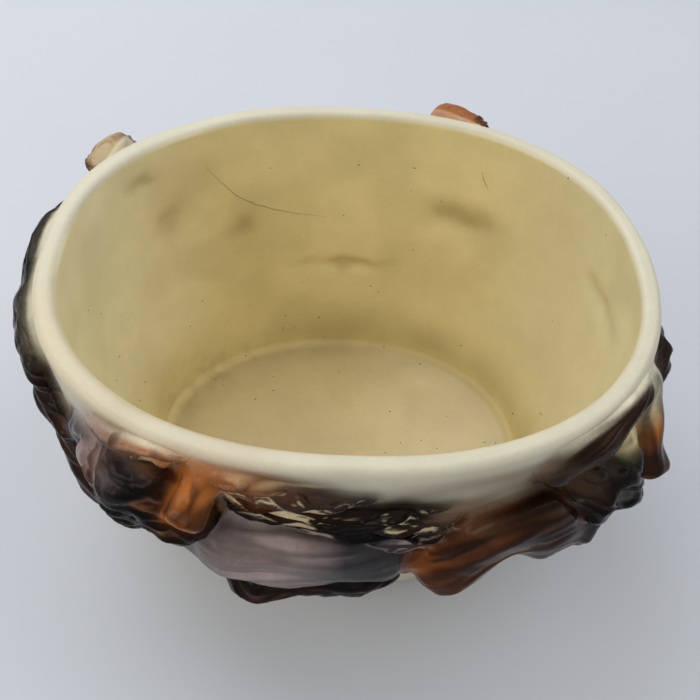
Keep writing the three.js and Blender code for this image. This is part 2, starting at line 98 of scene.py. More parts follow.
MM = 0.001
CELL = 0.75  # pitch of the lattice on which the relief is shaped, mm
BAND = 12  # cells on each side of a surface in which its distance is known
FAR = CELL * BAND
TINY = 1e-6  # keeps a sum that is divided by off zero
STATIONS = 60  # points on a sprig's middle line
CHUNK = 20000  # points whose distances to it are taken at once
MATH, NOISE, VECTOR = "ShaderNodeMath", "ShaderNodeTexNoise", "ShaderNodeVectorMath"


def linear(code: str) -> tuple[float, float, float, float]:
    """Turns an sRGB hex code into linear red, green and blue, and an alpha of 1."""
    shares = [int(code[k:k + 2], 16) / 255 for k in (1, 3, 5)]
    return (*(s / 12.92 if s <= 0.04045 else ((s + 0.055) / 1.055) ** 2.4 for s in shares), 1.0)


class Glaze(Enum):
    """Colours of the sprayed glazes, as sRGB hex codes."""

    CREAM = "#cfc8ae"
    IVORY = "#ece3ca"
    PALE_HONEY = "#ede8c8"
    DULL_HONEY = "#bfbb9c"
    OLD_CREAM = "#cdbb92"
    HONEY = "#e6d59e"
    AMBER = "#b2682c"
    RUST = "#6f3c17"
    BROWN = "#3d2211"
    UMBER = "#22150e"
    SOOT = "#110e0c"
    MAUVE = "#a18d87"
    SLATE = "#3f3a3c"
    TAUPE = "#86715a"
    GRIME = "#6b571f"
    OLIVE = "#7d6312"

    @property
    def light(self) -> Array:
        """Linear red, green and blue."""
        return np.array(linear(self.value)[:3], np.float32)


(CREAM, IVORY, PALE_HONEY, DULL_HONEY, OLD_CREAM, HONEY, AMBER, RUST,
 BROWN, UMBER, SOOT, MAUVE, SLATE, TAUPE, GRIME, OLIVE) = Glaze


class Slot(Enum):
    """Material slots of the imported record."""

    CREAM = "cream_glaze"
    BROWN = "brown_glaze"
    BLACK = "black_glaze"
    AMBER = "amber_glaze"
    MAUVE = "mauve_glaze"


@dataclass(frozen=True)
class Grain:
    """How the surface of a sprig is worked, in millimetres."""

    depth: float
    pitch: float  # of the furrows, round the sprig
    stretch: float  # how many pitches long a furrow is
    warp: float  # how many pitches it is bent
    twist: float = 0.0
    lump: float = 0.0
    lump_size: float = 12.0
    groove: float = 0.34  # width of a furrow, to its pitch
    level: int = 0  # how often the mesh is made finer
    wipe: float = 1.0  # power that leaves less colour in the furrows


class Bark(Enum):
    """Kinds of surface that the relief shows."""

    FURROWED = Grain(1.3, 4.6, 5.5, 1.6, lump=1.0)
    PLATED = Grain(1.3, 6.0, 2.6, 2.0, lump=1.2, lump_size=9.0)
    SMOOTH = Grain(0.4, 5.0, 6.0, 1.2, lump=1.0, lump_size=14.0)
    BURRED = Grain(1.3, 5.5, 2.2, 2.0, lump=1.8, lump_size=8.0, groove=0.24)
    SAWN = Grain(0.9, 3.2, 7.0, 1.7, lump=0.8, lump_size=7.0, groove=0.26)
    STRINGY = Grain(1.3, 4.4, 2.8, 0.8, twist=0.1, lump=0.9, lump_size=8.0, groove=0.17,
                    level=1, wipe=2.0)
    TWIGGY = Grain(0.5, 3.0, 4.0, 1.2, lump=0.8, lump_size=6.0)
    LEAFY = Grain(0.12, 4.0, 2.0, 0.5)


# Numbers and fields


def smooth_step(low: float, high: float, value: Array) -> Array:
    """Eases from 0 where a value is at low to 1 where it is at high."""
    share = np.clip((value - low) / (high - low), 0, 1)
    return share * share * (3 - 2 * share)


def smooth_min(first: Array, second: Array, reach: float | Array) -> Array:
    """Joins two distance fields with a fillet where they differ by less than its reach."""
    near = np.maximum(reach - np.abs(first - second), 0) / reach
    return np.minimum(first, second) - near * near * reach / 4


def toward(colours: Array, light: Array, share: Array) -> Array:
    """Moves colours towards another by a share at each point."""
    return colours + (light - colours) * share[:, None]


def between(table: Array, base: Array, share: Array) -> Array:
    """Blends the eight cells of a lattice round each point.

    Args:
        table: Values on a lattice that repeats.
        base: Lowest of the eight cells.
        share: How far the point lies towards the highest, along each axis.

    Returns:
        The blended values.
    """
    total = np.zeros(len(base), table.dtype)
    for corner in np.ndindex(2, 2, 2):
        weight = np.prod(np.where(corner, share, 1 - share), axis=1)
        total += weight * table[tuple(((base + corner) % table.shape).T)]
    return total


def clouds(points: Array, size: float, seed: int) -> Array:
    """Gives smooth random values in space.

    Args:
        points: Where.
        size: Size of a cloud, in the points' unit.
        seed: Which clouds.

    Returns:
        Values between 0 and 1, most of them near a half.
    """
    table = np.random.default_rng(seed).random((32, 32, 32))
    base = np.floor(points / size).astype(int)
    share = points / size - base
    return between(table, base, share * share * (3 - 2 * share))


class Cloud(Enum):
    """Clouds that break up what would look even, as size in millimetres and seed."""

    CRACK = (9.0, 2)
    FLOOR_EDGE = (14.0, 3)
    SOIL_BAND = (16.0, 4)
    WORN_RIDGES = (8.0, 5)
    FRECKLES = (18.0, 6)
    OVERSPRAY = (9.0, 8)
    HAZE = (22.0, 9)
    CLINGING_SOIL = (4.0, 12)
    LIP_EDGE = (26.0, 14)
    LIP_TOP = (34.0, 15)
    STAINS_AROUND = (11.0, 17)
    STAINS_UP = (8.0, 18)
    RING_SHAPES = (6.0, 21)
    RING_GAPS = (3.0, 22)
    BARE_WOOD = (9.0, 23)

    def at(self, points: Array) -> Array:
        """Gives its values at points."""
        return clouds(points, *self.value)


@dataclass(frozen=True)
class Oval:
    """The pot's plan and its wall, all in millimetres."""

    half_length: float = 105.0  # of the opening
    half_width: float = 85.5
    rim: float = 133.0
    wall: float = 7.0
    floor: float = 7.0  # height of the floor inside
    taper: float = 21.6  # how far the wall has drawn in at the floor
    rim_squareness: float = 2.25  # exponents of the ovals, 2 for an ellipse
    floor_squareness: float = 2.1
    turn_step: float = 0.01  # over which a normal is measured, in radians
    rise_step: float = 0.5  # and in height

    def draw_in(self, height: Array) -> Array:
        """Gives how far the wall has drawn in at a height."""
        depth = np.maximum(self.rim - height, 0) / (self.rim - self.floor)
        return self.taper * depth ** 2

    def squareness(self, height: Array) -> Array:
        """Gives the exponent of the oval at a height."""
        share = np.clip(height / self.rim, 0, 1)
        return self.floor_squareness + (self.rim_squareness - self.floor_squareness) * share

    def ring(self, turn: Array, offset: Array, height: Array) -> Array:
        """Gives points of the inner rim's oval, moved outwards.

        Args:
            turn: Angles in radians.
            offset: How far outwards.
            height: Heights above the ground.

        Returns:
            The points.
        """
        power = 2 / self.squareness(height)
        along, across = np.cos(turn), np.sin(turn)
        x = (self.half_length + offset) * np.sign(along) * np.abs(along) ** power
        y = (self.half_width + offset) * np.sign(across) * np.abs(across) ** power
        return np.stack(np.broadcast_arrays(x, y, np.asarray(height, float)), -1)

    def outer(self, turn: Array, height: Array) -> Array:
        """Gives points of the outer wall at angles in radians and heights."""
        return self.ring(turn, self.wall - self.draw_in(height), height)

    def place(self, degrees: Array, up: Array, out: Array) -> Array:
        """Gives points at angles and shares of the rim's height that stand off the wall."""
        turn, height = np.radians(degrees), np.asarray(up, float) * self.rim
        return self.outer(turn, height) + np.asarray(out)[..., None] * self.normal(turn, height)

    def normal(self, turn: Array, height: Array) -> Array:
        """Gives the outer wall's outward normals.

        Args:
            turn: Angles in radians.
            height: Heights above the ground.

        Returns:
            The normals.
        """
        around = (self.outer(turn + self.turn_step, height)
                  - self.outer(turn - self.turn_step, height))
        rise = self.outer(turn, height + self.rise_step) - self.outer(turn, height - self.rise_step)
        normal = np.cross(around, rise)
        return normal / np.linalg.norm(normal, axis=-1, keepdims=True)

    def stand(self, x: Array, y: Array, z: Array) -> Array:
        """Gives the distance from the outer wall.

        Args:
            x: Places along the oval.
            y: Places across it.
            z: Heights.

        Returns:
            Distances, positive outside the wall.
        """
        length = self.half_length + self.wall - self.draw_in(z)
        width = self.half_width + self.wall - self.draw_in(z)
        power = self.squareness(z)
        a, b = np.abs(x) / length + TINY, np.abs(y) / width + TINY
        size = (a ** power + b ** power) ** (1 / power)
        slope = size ** (1 - power) * np.hypot(a ** (power - 1) / length, b ** (power - 1) / width)
        lean = 2 * self.taper * np.maximum(self.rim - z, 0) / (self.rim - self.floor) ** 2
        return (size - 1) / slope / np.sqrt(1 + lean ** 2)

    def locate(self, points: Array) -> tuple[Array, Array]:
        """Finds where points lie round the pot.

        Args:
            points: The points.

        Returns:
            Their angles in degrees from 0 to 360 and their heights.
        """
        height = points[:, 2]
        outward = 0 * height
        power = self.squareness(height)
        for _ in range(4):
            length, width = self.half_length + outward, self.half_width + outward
            a, b = np.abs(points[:, 0]) / length, np.abs(points[:, 1]) / width
            size = (a ** power + b ** power) ** (1 / power)
            outward = np.clip(outward + (size - 1) * (length + width) / 2, -80, 60)
        along = np.sign(points[:, 0]) * a ** (power / 2)
        across = np.sign(points[:, 1]) * b ** (power / 2)
        return np.degrees(np.arctan2(across, along)) % 360, height


OVAL = Oval()


@dataclass(frozen=True)
class Survey:
    """Where points lie: angle in degrees, height, and distance from the outer wall."""

    degrees: Array
    height: Array
    stand: Array

    @classmethod
    def of(cls, points: Array) -> "Survey":
        """Surveys points."""
        return cls(*OVAL.locate(points), OVAL.stand(*points.T))

    def apart(self, middle: float) -> Array:
        """Gives the signed turns from a middle angle to the points, in degrees."""
        return (self.degrees - middle + 180) % 360 - 180


# Meshes


def read(items: Any, key: str, width: int = 1, kind: type = np.float32) -> Array:
    """Reads a property of every item of a Blender collection.

    Args:
        items: The collection.
        key: Name of the property.
        width: How many values an item has.
        kind: Their type.

    Returns:
        Rows of values, or a plain array where an item has one.
    """
    values = np.empty(len(items) * width, kind)
    items.foreach_get(key, values)
    return values.reshape(-1, width) if width > 1 else values


def points_of(mesh: Mesh) -> Array:
    """Reads a mesh's points in millimetres."""
    return read(mesh.vertices, "co", 3).astype(float) / MM


def normals_of(mesh: Mesh) -> Array:
    """Reads a mesh's outward normals."""
    return read(mesh.vertex_normals, "vector", 3)


def corners_of(mesh: Mesh) -> Array:
    """Reads the three corners of each triangle of a mesh."""
    mesh.calc_loop_triangles()
    return read(mesh.loop_triangles, "vertices", 3, np.int32)


def move_points(mesh: Mesh, points: Array) -> None:
    """Writes points in millimetres back to a mesh."""
    mesh.vertices.foreach_set("co", (points * MM).astype(np.float32).ravel())
    mesh.update()


def store(mesh: Mesh, **attributes: Array) -> None:
    """Keeps values for each point of a mesh.

    Args:
        mesh: Mesh that gets the attributes.
        attributes: For each name one value to a point, or one row of 3 or 4.
    """
    kinds = {1: ("FLOAT", "value"), 3: ("FLOAT_VECTOR", "vector"), 4: ("FLOAT_COLOR", "color")}
    for name, values in attributes.items():
        kind, key = kinds[1 if values.ndim == 1 else values.shape[1]]
        kept = mesh.attributes.get(name) or mesh.attributes.new(name, kind, "POINT")
        kept.data.foreach_set(key, np.ascontiguousarray(values, np.float32).ravel())


def drop(mesh: Mesh, *names: str) -> None:
    """Removes attributes that a mesh may have."""
    for name in set(names) & set(mesh.attributes.keys()):
        mesh.attributes.remove(mesh.attributes[name])


def turn_outwards(mesh: Mesh) -> None:
    """Turns a closed mesh's faces outwards."""
    a, b, c = points_of(mesh)[corners_of(mesh).T]
    if (a * np.cross(b, c)).sum() < 0:
        mesh.flip_normals()


def new_piece(name: str, data: Any) -> Piece:
    """Makes an object at the origin.

    Args:
        name: Its name.
        data: Its mesh, lamp or camera.

    Returns:
        The new object, linked to the scene.
    """
    piece = bpy.data.objects.new(name, data)
    bpy.context.scene.collection.objects.link(piece)
    return piece


def plain_mesh(name: str, points: Array, faces: Sequence[Sequence[int]] | Array = ()) -> Piece:
    """Makes a mesh object at the origin.

    Args:
        name: Name of the object and its mesh.
        points: Points in millimetres.
        faces: Corners of each face.

    Returns:
        The new object, linked to the scene.
    """
    mesh = bpy.data.meshes.new(name)
    rows = [list(map(int, face)) for face in faces]
    mesh.from_pydata((np.asarray(points) * MM).tolist(), [], rows)
    mesh.update()
    return new_piece(name, mesh)


@dataclass
class Field:
    """Distances to one shape, in a box of lattice cells."""

    low: Array
    values: Array

    @classmethod
    def of_mesh(cls, mesh: Mesh, passes: int, grow: float) -> "Field":
        """Measures the distances to a closed mesh and softens its facets.

        Args:
            mesh: Mesh in metres.
            passes: How many times each cell is averaged with its neighbours.
            grow: How far the softened shape is let out again, in millimetres.

        Returns:
            The field of the softened shape.
        """
        points = read(mesh.vertices, "co", 3) / MM
        grid = openvdb.FloatGrid.createLevelSetFromPolygons(
            points,
            triangles=corners_of(mesh).astype(np.uint32),
            transform=openvdb.createLinearTransform(voxelSize=CELL),
            halfWidth=float(BAND),
        )
        low = np.floor(points.min(0) / CELL).astype(int) - BAND
        high = np.ceil(points.max(0) / CELL).astype(int) + BAND
        values = np.full(high - low, FAR, np.float32)
        grid.copyToArray(values, ijk=tuple(int(v) for v in low))
        for axis in tuple(range(3)) * passes:
            turned = np.moveaxis(values, axis, 0)
            turned[1:-1] = 0.5 * turned[1:-1] + 0.25 * (turned[:-2] + turned[2:])
        return cls(low, values - grow)

    def window(self, low: Array, shape: Array) -> Array | None:
        """Copies the distances into another box.

        Args:
            low: First cell of that box.
            shape: Its cells along each axis.

        Returns:
            The distances there, FAR where unknown, or None where the boxes are apart.
        """
        start = np.maximum(low, self.low)
        stop = np.minimum(low + shape, self.low + self.values.shape)
        if (stop <= start).any():
            return None
        out = np.full(shape, FAR, np.float32)
        there, here = (tuple(map(slice, start - first, stop - first)) for first in (low, self.low))
        out[there] = self.values[here]
        return out

    def at(self, points: Array) -> Array:
        """Reads the distances at points, in millimetres.

        Args:
            points: The points.

        Returns:
            The distances, FAR outside the box.
        """
        cells = points / CELL - self.low
        base = np.floor(cells).astype(int)
        inside = ((base >= 0) & (base + 1 < self.values.shape)).all(axis=1)
        out = np.full(len(points), FAR, np.float32)
        out[inside] = between(self.values, base[inside], (cells - base)[inside])
        return out


# Node trees


def add_node(tree: Tree, kind: str, values: dict[Any, Any] | tuple = (), **settings: Any) -> Node:
    """Adds a node, makes its settings and fills or links its inputs.

    Args:
        tree: Tree that gets the node.
        kind: Type name of the node.
        values: For inputs in order, or by name or number, a plain value, a socket, or a
            node whose first output is meant.
        settings: Properties of the node.

    Returns:
        The new node.
    """
    node = tree.nodes.new(kind)
    for name, setting in settings.items():
        setattr(node, name, setting)
    fill(tree, node, values if isinstance(values, dict) else dict(enumerate(values)))
    return node


def fill(tree: Tree, node: Node, values: dict[Any, Any]) -> None:
    """Fills or links inputs of a node.

    Args:
        tree: The node's tree.
        node: The node.
        values: As for a new node, by name or number.
    """
    for name, value in values.items():
        if isinstance(value, Node):
            value = value.outputs[0]
        if isinstance(value, Socket):
            tree.links.new(value, node.inputs[name])
        else:
            node.inputs[name].default_value = value


class Shaper:
    """A tree of geometry nodes with named inputs, which shapes pieces."""

    def __init__(self, name: str, **sizes: float | int) -> None:
        """Starts the tree.

        Args:
            name: Its name.
            sizes: Values of its inputs by name, with an underscore for each space.
        """
        self.sizes = sizes
        self.tree = bpy.data.node_groups.new(name, "GeometryNodeTree")
        face = self.tree.interface
        face.new_socket("Geometry", in_out="OUTPUT", socket_type="NodeSocketGeometry")
        face.new_socket("Geometry", in_out="INPUT", socket_type="NodeSocketGeometry")
        self.sockets = {}
        for key, value in {**sizes, "Material": None}.items():
            kind = {float: "Float", int: "Int"}.get(type(value), "Material")
            socket = face.new_socket(key.replace("_", " "), in_out="INPUT",
                                     socket_type="NodeSocket" + kind)
            socket.default_value = value
            self.sockets[key] = socket.identifier
        self.add = partial(add_node, self.tree)
        self.size = self.add("NodeGroupInput").outputs

    def end(self, geometry: Node) -> None:
        """Ends the tree in Realize Instances and Set Material.

        Args:
            geometry: Node that gives the finished geometry.
        """
        real = self.add("GeometryNodeRealizeInstances", (geometry,))
        dressed = self.add("GeometryNodeSetMaterial", {
            "Geometry": real, "Material": self.size["Material"]})
        self.add("NodeGroupOutput", (dressed,))

    def run(self, piece: Piece, material: Material, **sizes: float | int) -> None:
        """Shapes a piece and keeps the result as its plain mesh.

        Args:
            piece: Object whose mesh goes into the tree.
            material: What the result is made of.
            sizes: Inputs that differ from the tree's own.
        """
        modifier = piece.modifiers.new("shape", "NODES")
        modifier.node_group = self.tree
        for key, value in {**self.sizes, **sizes, "Material": material}.items():
            modifier[self.sockets[key]] = value
        graph = bpy.context.evaluated_depsgraph_get()
        shaped = bpy.data.meshes.new_from_object(
            piece.evaluated_get(graph), preserve_all_data_layers=True, depsgraph=graph)
        piece.modifiers.remove(modifier)
        old, piece.data = piece.data, shaped
        bpy.data.meshes.remove(old)
        shaped.name = piece.name


# Finishes


def new_material(name: str) -> tuple[Material, Tree, Node, Socket]:
    """Starts a material.

    Args:
        name: Its name.

    Returns:
        The material, its tree, its shader and the place on the object.
    """
    material = bpy.data.materials.new(name)
    material.use_nodes = True
    tree = material.node_tree
    place = add_node(tree, "ShaderNodeTexCoord").outputs["Object"]
    return material, tree, tree.nodes["Principled BSDF"], place


@dataclass(frozen=True)
class SprayedGlaze:
    """Clear lead glaze over sprayed colours, fired glossy on earthenware.

    The colours are airbrushed, so they run into each other without an edge. Over them
    lies a glass that pools in the hollows, where it is darker, and thins on the ridges.
    """

    name: str
    roughness: float
    mottle: float
    pooling: float
    index: float
    dulling: float = 0.0
    spray_size: float = 12.0
    spatter_size: float = 1.5
    peel_size: float = 3.5
    peel_depth: float = 0.25
    peel_strength: float = 0.35

    def make(self) -> Material:
        """Builds the material.

        Returns:
            A material that reads the attributes glaze and pool of its mesh.
        """
        material, tree, shader, place = new_material(self.name)
        add = partial(add_node, tree)
        glaze = add("ShaderNodeAttribute", attribute_name="glaze").outputs["Color"]
        pool = add("ShaderNodeAttribute", attribute_name="pool").outputs["Fac"]
        # Soft clouds of spray under fine spatter
        cloud, spatter, peel = (
            add(NOISE, {"Vector": place, "Scale": 1 / (size * MM), "Detail": detail})
            for size, detail in ((self.spray_size, 4.0), (self.spatter_size, 2.0),
                                 (self.peel_size, 2.0)))
        uneven = add(MATH, (add(MATH, (cloud, 0.75), operation="MULTIPLY"),
                            add(MATH, (spatter, 0.25), operation="MULTIPLY")), operation="ADD")
        value = add("ShaderNodeMapRange", (uneven, 0.3, 0.7, 1 - self.mottle, 1 + self.mottle))
        sunk = add(MATH, (1.0, add(MATH, (pool, self.pooling), operation="MULTIPLY")),
                   operation="SUBTRACT")
        toned = add("ShaderNodeHueSaturation", {
            "Color": glaze, "Value": add(MATH, (value, sunk), operation="MULTIPLY")})
        # The glass is less even over the spatter, and dull where soil lay on it
        rough = add("ShaderNodeMapRange", (
            cloud, 0.3, 0.7, self.roughness * 0.8, self.roughness * 1.25))
        dull = add(MATH, (pool, self.dulling), operation="MULTIPLY")
        bump = add("ShaderNodeBump", {
            "Height": peel, "Strength": self.peel_strength, "Distance": self.peel_depth * MM})
        fill(tree, shader, {
            "Base Color": toned, "Roughness": add(MATH, (rough, dull), operation="ADD"),
            "Normal": bump, "IOR": self.index})
        return material


@dataclass(frozen=True)
class MattSurface:
    """A dull, faintly patchy surface, gritty to the eye where it has a depth."""

    name: str
    dark: str
    pale: str
    roughness: float
    patch: float
    detail: float
    depth: float = 0.0

    def make(self) -> Material:
        """Builds the material.

        Returns:
            The material.
        """
        material, tree, shader, place = new_material(self.name)
        patches = add_node(tree, NOISE, {
            "Vector": place, "Scale": 1 / (self.patch * MM), "Detail": self.detail})
        colour = add_node(tree, "ShaderNodeMix", {
            0: patches, 6: linear(self.dark), 7: linear(self.pale)}, data_type="RGBA").outputs[2]
        fill(tree, shader, {"Base Color": colour, "Roughness": self.roughness})
        if self.depth:
            fill(tree, shader, {"Normal": add_node(tree, "ShaderNodeBump", {
                "Height": patches, "Strength": 0.4, "Distance": self.depth * MM})})
        return material


class Finishes:
    """All the finishes of the pot, made once."""

    def __init__(self) -> None:
        """Makes the materials."""
        self.glazes = {
            # Thick and pale, with a soft sheen that soil has dulled in the corners
            Slot.CREAM: SprayedGlaze(
                "cream_lead_glaze", 0.38, 0.05, 0.08, 1.47, dulling=0.4).make(),
            # Dark and thin, glossier the darker they are, with little of the lamps in them
            Slot.BROWN: SprayedGlaze("brown_sprayed_glaze", 0.17, 0.22, 0.75, 1.19).make(),
            Slot.BLACK: SprayedGlaze("black_sprayed_glaze", 0.14, 0.25, 0.7, 1.16).make(),
            Slot.AMBER: SprayedGlaze("amber_sprayed_glaze", 0.18, 0.18, 0.7, 1.22).make(),
            Slot.MAUVE: SprayedGlaze("mauve_sprayed_glaze", 0.22, 0.18, 0.5, 1.31).make(),
        }
        # Bare fired clay under the foot, where the glaze was wiped off so that it wouldn't stick
        self.biscuit = MattSurface(
            "bare_earthenware", "#a98f70", "#cbb79c", 0.8, 2.0, 5.0, depth=0.2).make()
        # Dry potting soil that clings to the glaze, nearly black
        self.soil = MattSurface("dried_soil", "#2b2417", "#5c4d30", 0.9, 0.8, 3.0).make()
        # Soil and water have stained the cracks of the glaze brown
        self.crack = MattSurface("stained_crack", "#66532d", "#8c7745", 0.9, 0.8, 3.0).make()


# The relief


@dataclass(frozen=True)
class Sprig:
    """One ornament, laid on the wall along a line of places."""

    node: str
    slot: Slot
    bark: Bark
    line: tuple[Place, ...]
    tints: tuple[Glaze, ...]
    crest: Glaze = AMBER  # colour of its worn ridges and of the painted highlight on those that face up, and of a sawn face's bare wood
    shine: float = 0.45  # how much of them is worn and painted with highlight
    softness: int = 5  # passes of softening
    fillet: float = 2.6  # reach of its fillets to its neighbours
    foot: float = 4.2  # and to the wall
    sawn: bool = False

    def path(self) -> tuple[Array, Array]:
        """Draws the sprig's middle line.

        Returns:
            Points on the line and the wall's outward normals there.
        """
        share, knots = np.linspace(0, 1, STATIONS), np.linspace(0, 1, len(self.line))
        at, up, out = (np.interp(share, knots, column) for column in np.array(self.line, float).T)
        points = OVAL.place(at, up, out)
        for _ in range(STATIONS // 12):
            points[1:-1] = (points[:-2] + points[1:-1] + points[2:]) / 3
        return points, OVAL.normal(np.radians(at), up * OVAL.rim)

    def follow(self, points: Array) -> tuple[Array, Array, Array, Array]:
        """Finds where points lie along and round the sprig.

        Args:
            points: The points.

        Returns:
            Distance along the line, angle round it in radians from the outward side,
            distance from it, and share of its length.
        """
        middle, normals = self.path()
        tangents = np.gradient(middle, axis=0)
        tangents /= np.linalg.norm(tangents, axis=1, keepdims=True)
        steps = np.linalg.norm(np.diff(middle, axis=0), axis=1)
        lengths = np.concatenate([[0], np.cumsum(steps)])
        nearest = np.concatenate([
            ((part[:, None, :] - middle[None]) ** 2).sum(-1).argmin(1)
            for part in np.array_split(points, len(points) // CHUNK + 1)])
        away = points - middle[nearest]
        tangent, normal = tangents[nearest], normals[nearest]
        ahead = (away * tangent).sum(1)
        along = lengths[nearest] + ahead
        away = away - ahead[:, None] * tangent
        side = (away * np.cross(tangent, normal)).sum(1)
        out = (away * normal).sum(1)
        return along, np.arctan2(side, out), np.hypot(side, out), along / lengths[-1]


@dataclass
class Carving:
    """The whole relief as distances on one lattice, from which each piece is cut."""

    sprigs: tuple[Sprig, ...]
    grow: float = 0.05  # what each pass of softening has worn off, given back
    sink: float = 0.09  # how far the skin is drawn in to stay in the solids' box
    overlap: float = 0.5  # how far a piece runs on past its neighbour's middle line
    dive: float = 2.5  # how steeply it dives from there
    back: float = 2.2  # how far it reaches into the wall
    lip: float = 2.8  # how far under the rim its fillets end
    sharing: float = 1.5  # reach over which neighbours share the width of their fillets
    fields: dict[str, Field] = field(default_factory=dict)

    def measure(self, nodes: dict[str, Piece]) -> None:
        """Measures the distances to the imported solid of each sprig, by name of node."""
        for sprig in self.sprigs:
            self.fields[sprig.node] = Field.of_mesh(
                nodes[sprig.node].data, sprig.softness, self.grow * sprig.softness)

    def cut(self, name: str) -> tuple[Array, Array]:
        """Cuts one sprig out of the relief, with its fillets.

        Args:
            name: Node of the sprig.

        Returns:
            Points in millimetres and faces of four corners.
        """
        own = self.fields[name]
        low, shape = own.low, np.array(own.values.shape)
        x, y, z = np.meshgrid(*((np.arange(n) + k) * CELL for n, k in zip(shape, low)),
                              indexing="ij", sparse=True)
        wall = OVAL.stand(x, y, z).astype(np.float32)
        union, others = (np.full(shape, FAR, np.float32) for _ in range(2))
        total, foot = (np.full(shape, TINY, np.float32) for _ in range(2))
        for sprig in self.sprigs:
            near = self.fields[sprig.node].window(low, shape)
            if near is None:
                continue
            union = smooth_min(union, near, sprig.fillet)
            pull = np.exp(-near / self.sharing)
            total += pull
            foot += pull * sprig.foot
            if sprig.node != name:
                others = np.minimum(others, near)
        # The wall that carries the fillets ends just under the lip's rounding
        carrier = np.maximum(wall, (z - (OVAL.rim - self.lip)).astype(np.float32))
        skin = smooth_min(union, carrier, foot / total) + self.sink
        # Past the middle between two sprigs the skin dives under the other one
        skin += self.dive * np.maximum((own.values - others) / 2 - self.overlap, 0)
        skin = np.maximum(skin, -(wall + self.back))
        grid = openvdb.FloatGrid(FAR)
        grid.copyFromArray(skin, ijk=tuple(int(v) for v in low))
        grid.transform = openvdb.createLinearTransform(voxelSize=CELL)
        points, _, quads = grid.convertToPolygons(isovalue=0.0, adaptivity=0.0)
        return points.astype(float), quads

    def nearest(self, points: Array) -> tuple[Array, dict[str, Array]]:
        """Reads how near the sprigs are to points.

        Args:
            points: The points.

        Returns:
            Distance to the nearest sprig, and the distances to each one in reach.
        """
        low, high = points.min(0) / CELL, points.max(0) / CELL
        each = {name: that.at(points) for name, that in self.fields.items()
                if (that.low < high).all() and (that.low + that.values.shape > low).all()}
        return np.min(list(each.values()), axis=0) if each else np.full(len(points), FAR), each


@dataclass(frozen=True)
class Spray:
    """One pass of the airbrush, over everything that stands near a place on the wall."""

    at: float
    up: float
    spread: float
    rise: float
    glaze: Glaze
    strength: float

    def cover(self, spot: Survey) -> Array:
        """Gives how much of the pass lands on points."""
        far = (spot.apart(self.at) / self.spread) ** 2 + (
            (spot.height / OVAL.rim - self.up) / self.rise) ** 2
        return self.strength * np.exp(-1.2 * far ** 1.3)


@dataclass
class Painter:
    """Works out the sprayed colours for any point on the outside of the pot."""

    carving: Carving
    passes: tuple[Spray, ...]
    mixing: float = 1.3  # reach over which neighbours' colours run into each other, mm
    faint: float = 0.004  # weight under which a colour is left out
    overspray: float = 7.0  # how far the colours drift onto the bare wall, mm
    drift: float = 2.5  # how unevenly they do

    def mix(self, points: Array) -> tuple[Array, Array, Array, Array]:
        """Mixes the colours of the sprigs in reach.

        Args:
            points: The points.

        Returns:
            Distance to the nearest sprig, colour, colour of a worn ridge and of its painted
            highlight, and the share of wear and highlight.
        """
        nearest, each = self.carving.nearest(points)
        total, shine = np.full(len(points), TINY), np.zeros(len(points))
        mixed, crest = np.zeros((2, len(points), 3))
        for sprig in self.carving.sprigs:
            if sprig.node not in each:
                continue
            far = each[sprig.node]
            weight = np.exp(-(far - nearest) / self.mixing) * (far < FAR * 0.98)
            near = weight > self.faint
            if not near.any():
                continue
            weight = weight[near]
            share = np.clip(sprig.follow(points[near])[3], 0, 1)
            knots = np.linspace(0, 1, len(sprig.tints))
            lights = np.array([tint.light for tint in sprig.tints])
            tint = np.stack([np.interp(share, knots, column) for column in lights.T], -1)
            mixed[near] += weight[:, None] * tint
            crest[near] += weight[:, None] * sprig.crest.light
            shine[near] += weight * sprig.shine
            total[near] += weight
        return nearest, mixed / total[:, None], crest / total[:, None], shine / total

    def colour(self, points: Array, normals: Array, pool: Array) -> Array:
        """Gives the colours of the outside.

        Args:
            points: The points.
            normals: Outward normals there.
            pool: How deep in a furrow the points lie, from 0 to 1.

        Returns:
            Linear colours with an alpha of 1.
        """
        spot = Survey.of(points)
        up = spot.height / OVAL.rim
        nearest, mixed, crest, shine = self.mix(points)
        # Ridges that look up and out turn towards their crest colour in patches. This is partly
        # worn glaze where the warmer ground shows, and partly painted highlight where the ridges
        # face the lamps above
        patches = smooth_step(0.26, 0.5, Cloud.WORN_RIDGES.at(points))
        ridge = (smooth_step(-0.5, 0.2, normals[:, 2]) * smooth_step(0.75, 0.25, pool)
                 * smooth_step(0.3, 1.4, spot.stand))
        ridge_wear_and_highlight = np.clip(shine * ridge * patches, 0, 0.96)
        mixed = toward(mixed, crest, ridge_wear_and_highlight)
        # Overspray thins out on the wall, and towards the lip
        drift = self.drift * (Cloud.OVERSPRAY.at(points) - 0.5)
        cover = 1 - smooth_step(-0.5, self.overspray, nearest + drift)
        cover *= 1 - smooth_step(0.92, 0.975, up) * smooth_step(4, 1, spot.stand)
        cover = np.maximum(cover, smooth_step(1.2, 3.2, spot.stand))
        cream = toward(CREAM.light, OLD_CREAM.light, 0.35 * smooth_step(0.45, 0.1, up))
        result = toward(cream, mixed, cover)
        for spray in self.passes:
            result = toward(result, spray.glaze.light, spray.cover(spot) * (1 - 0.75 * ridge_wear_and_highlight))
        return np.concatenate([result, np.ones((len(points), 1))], 1)


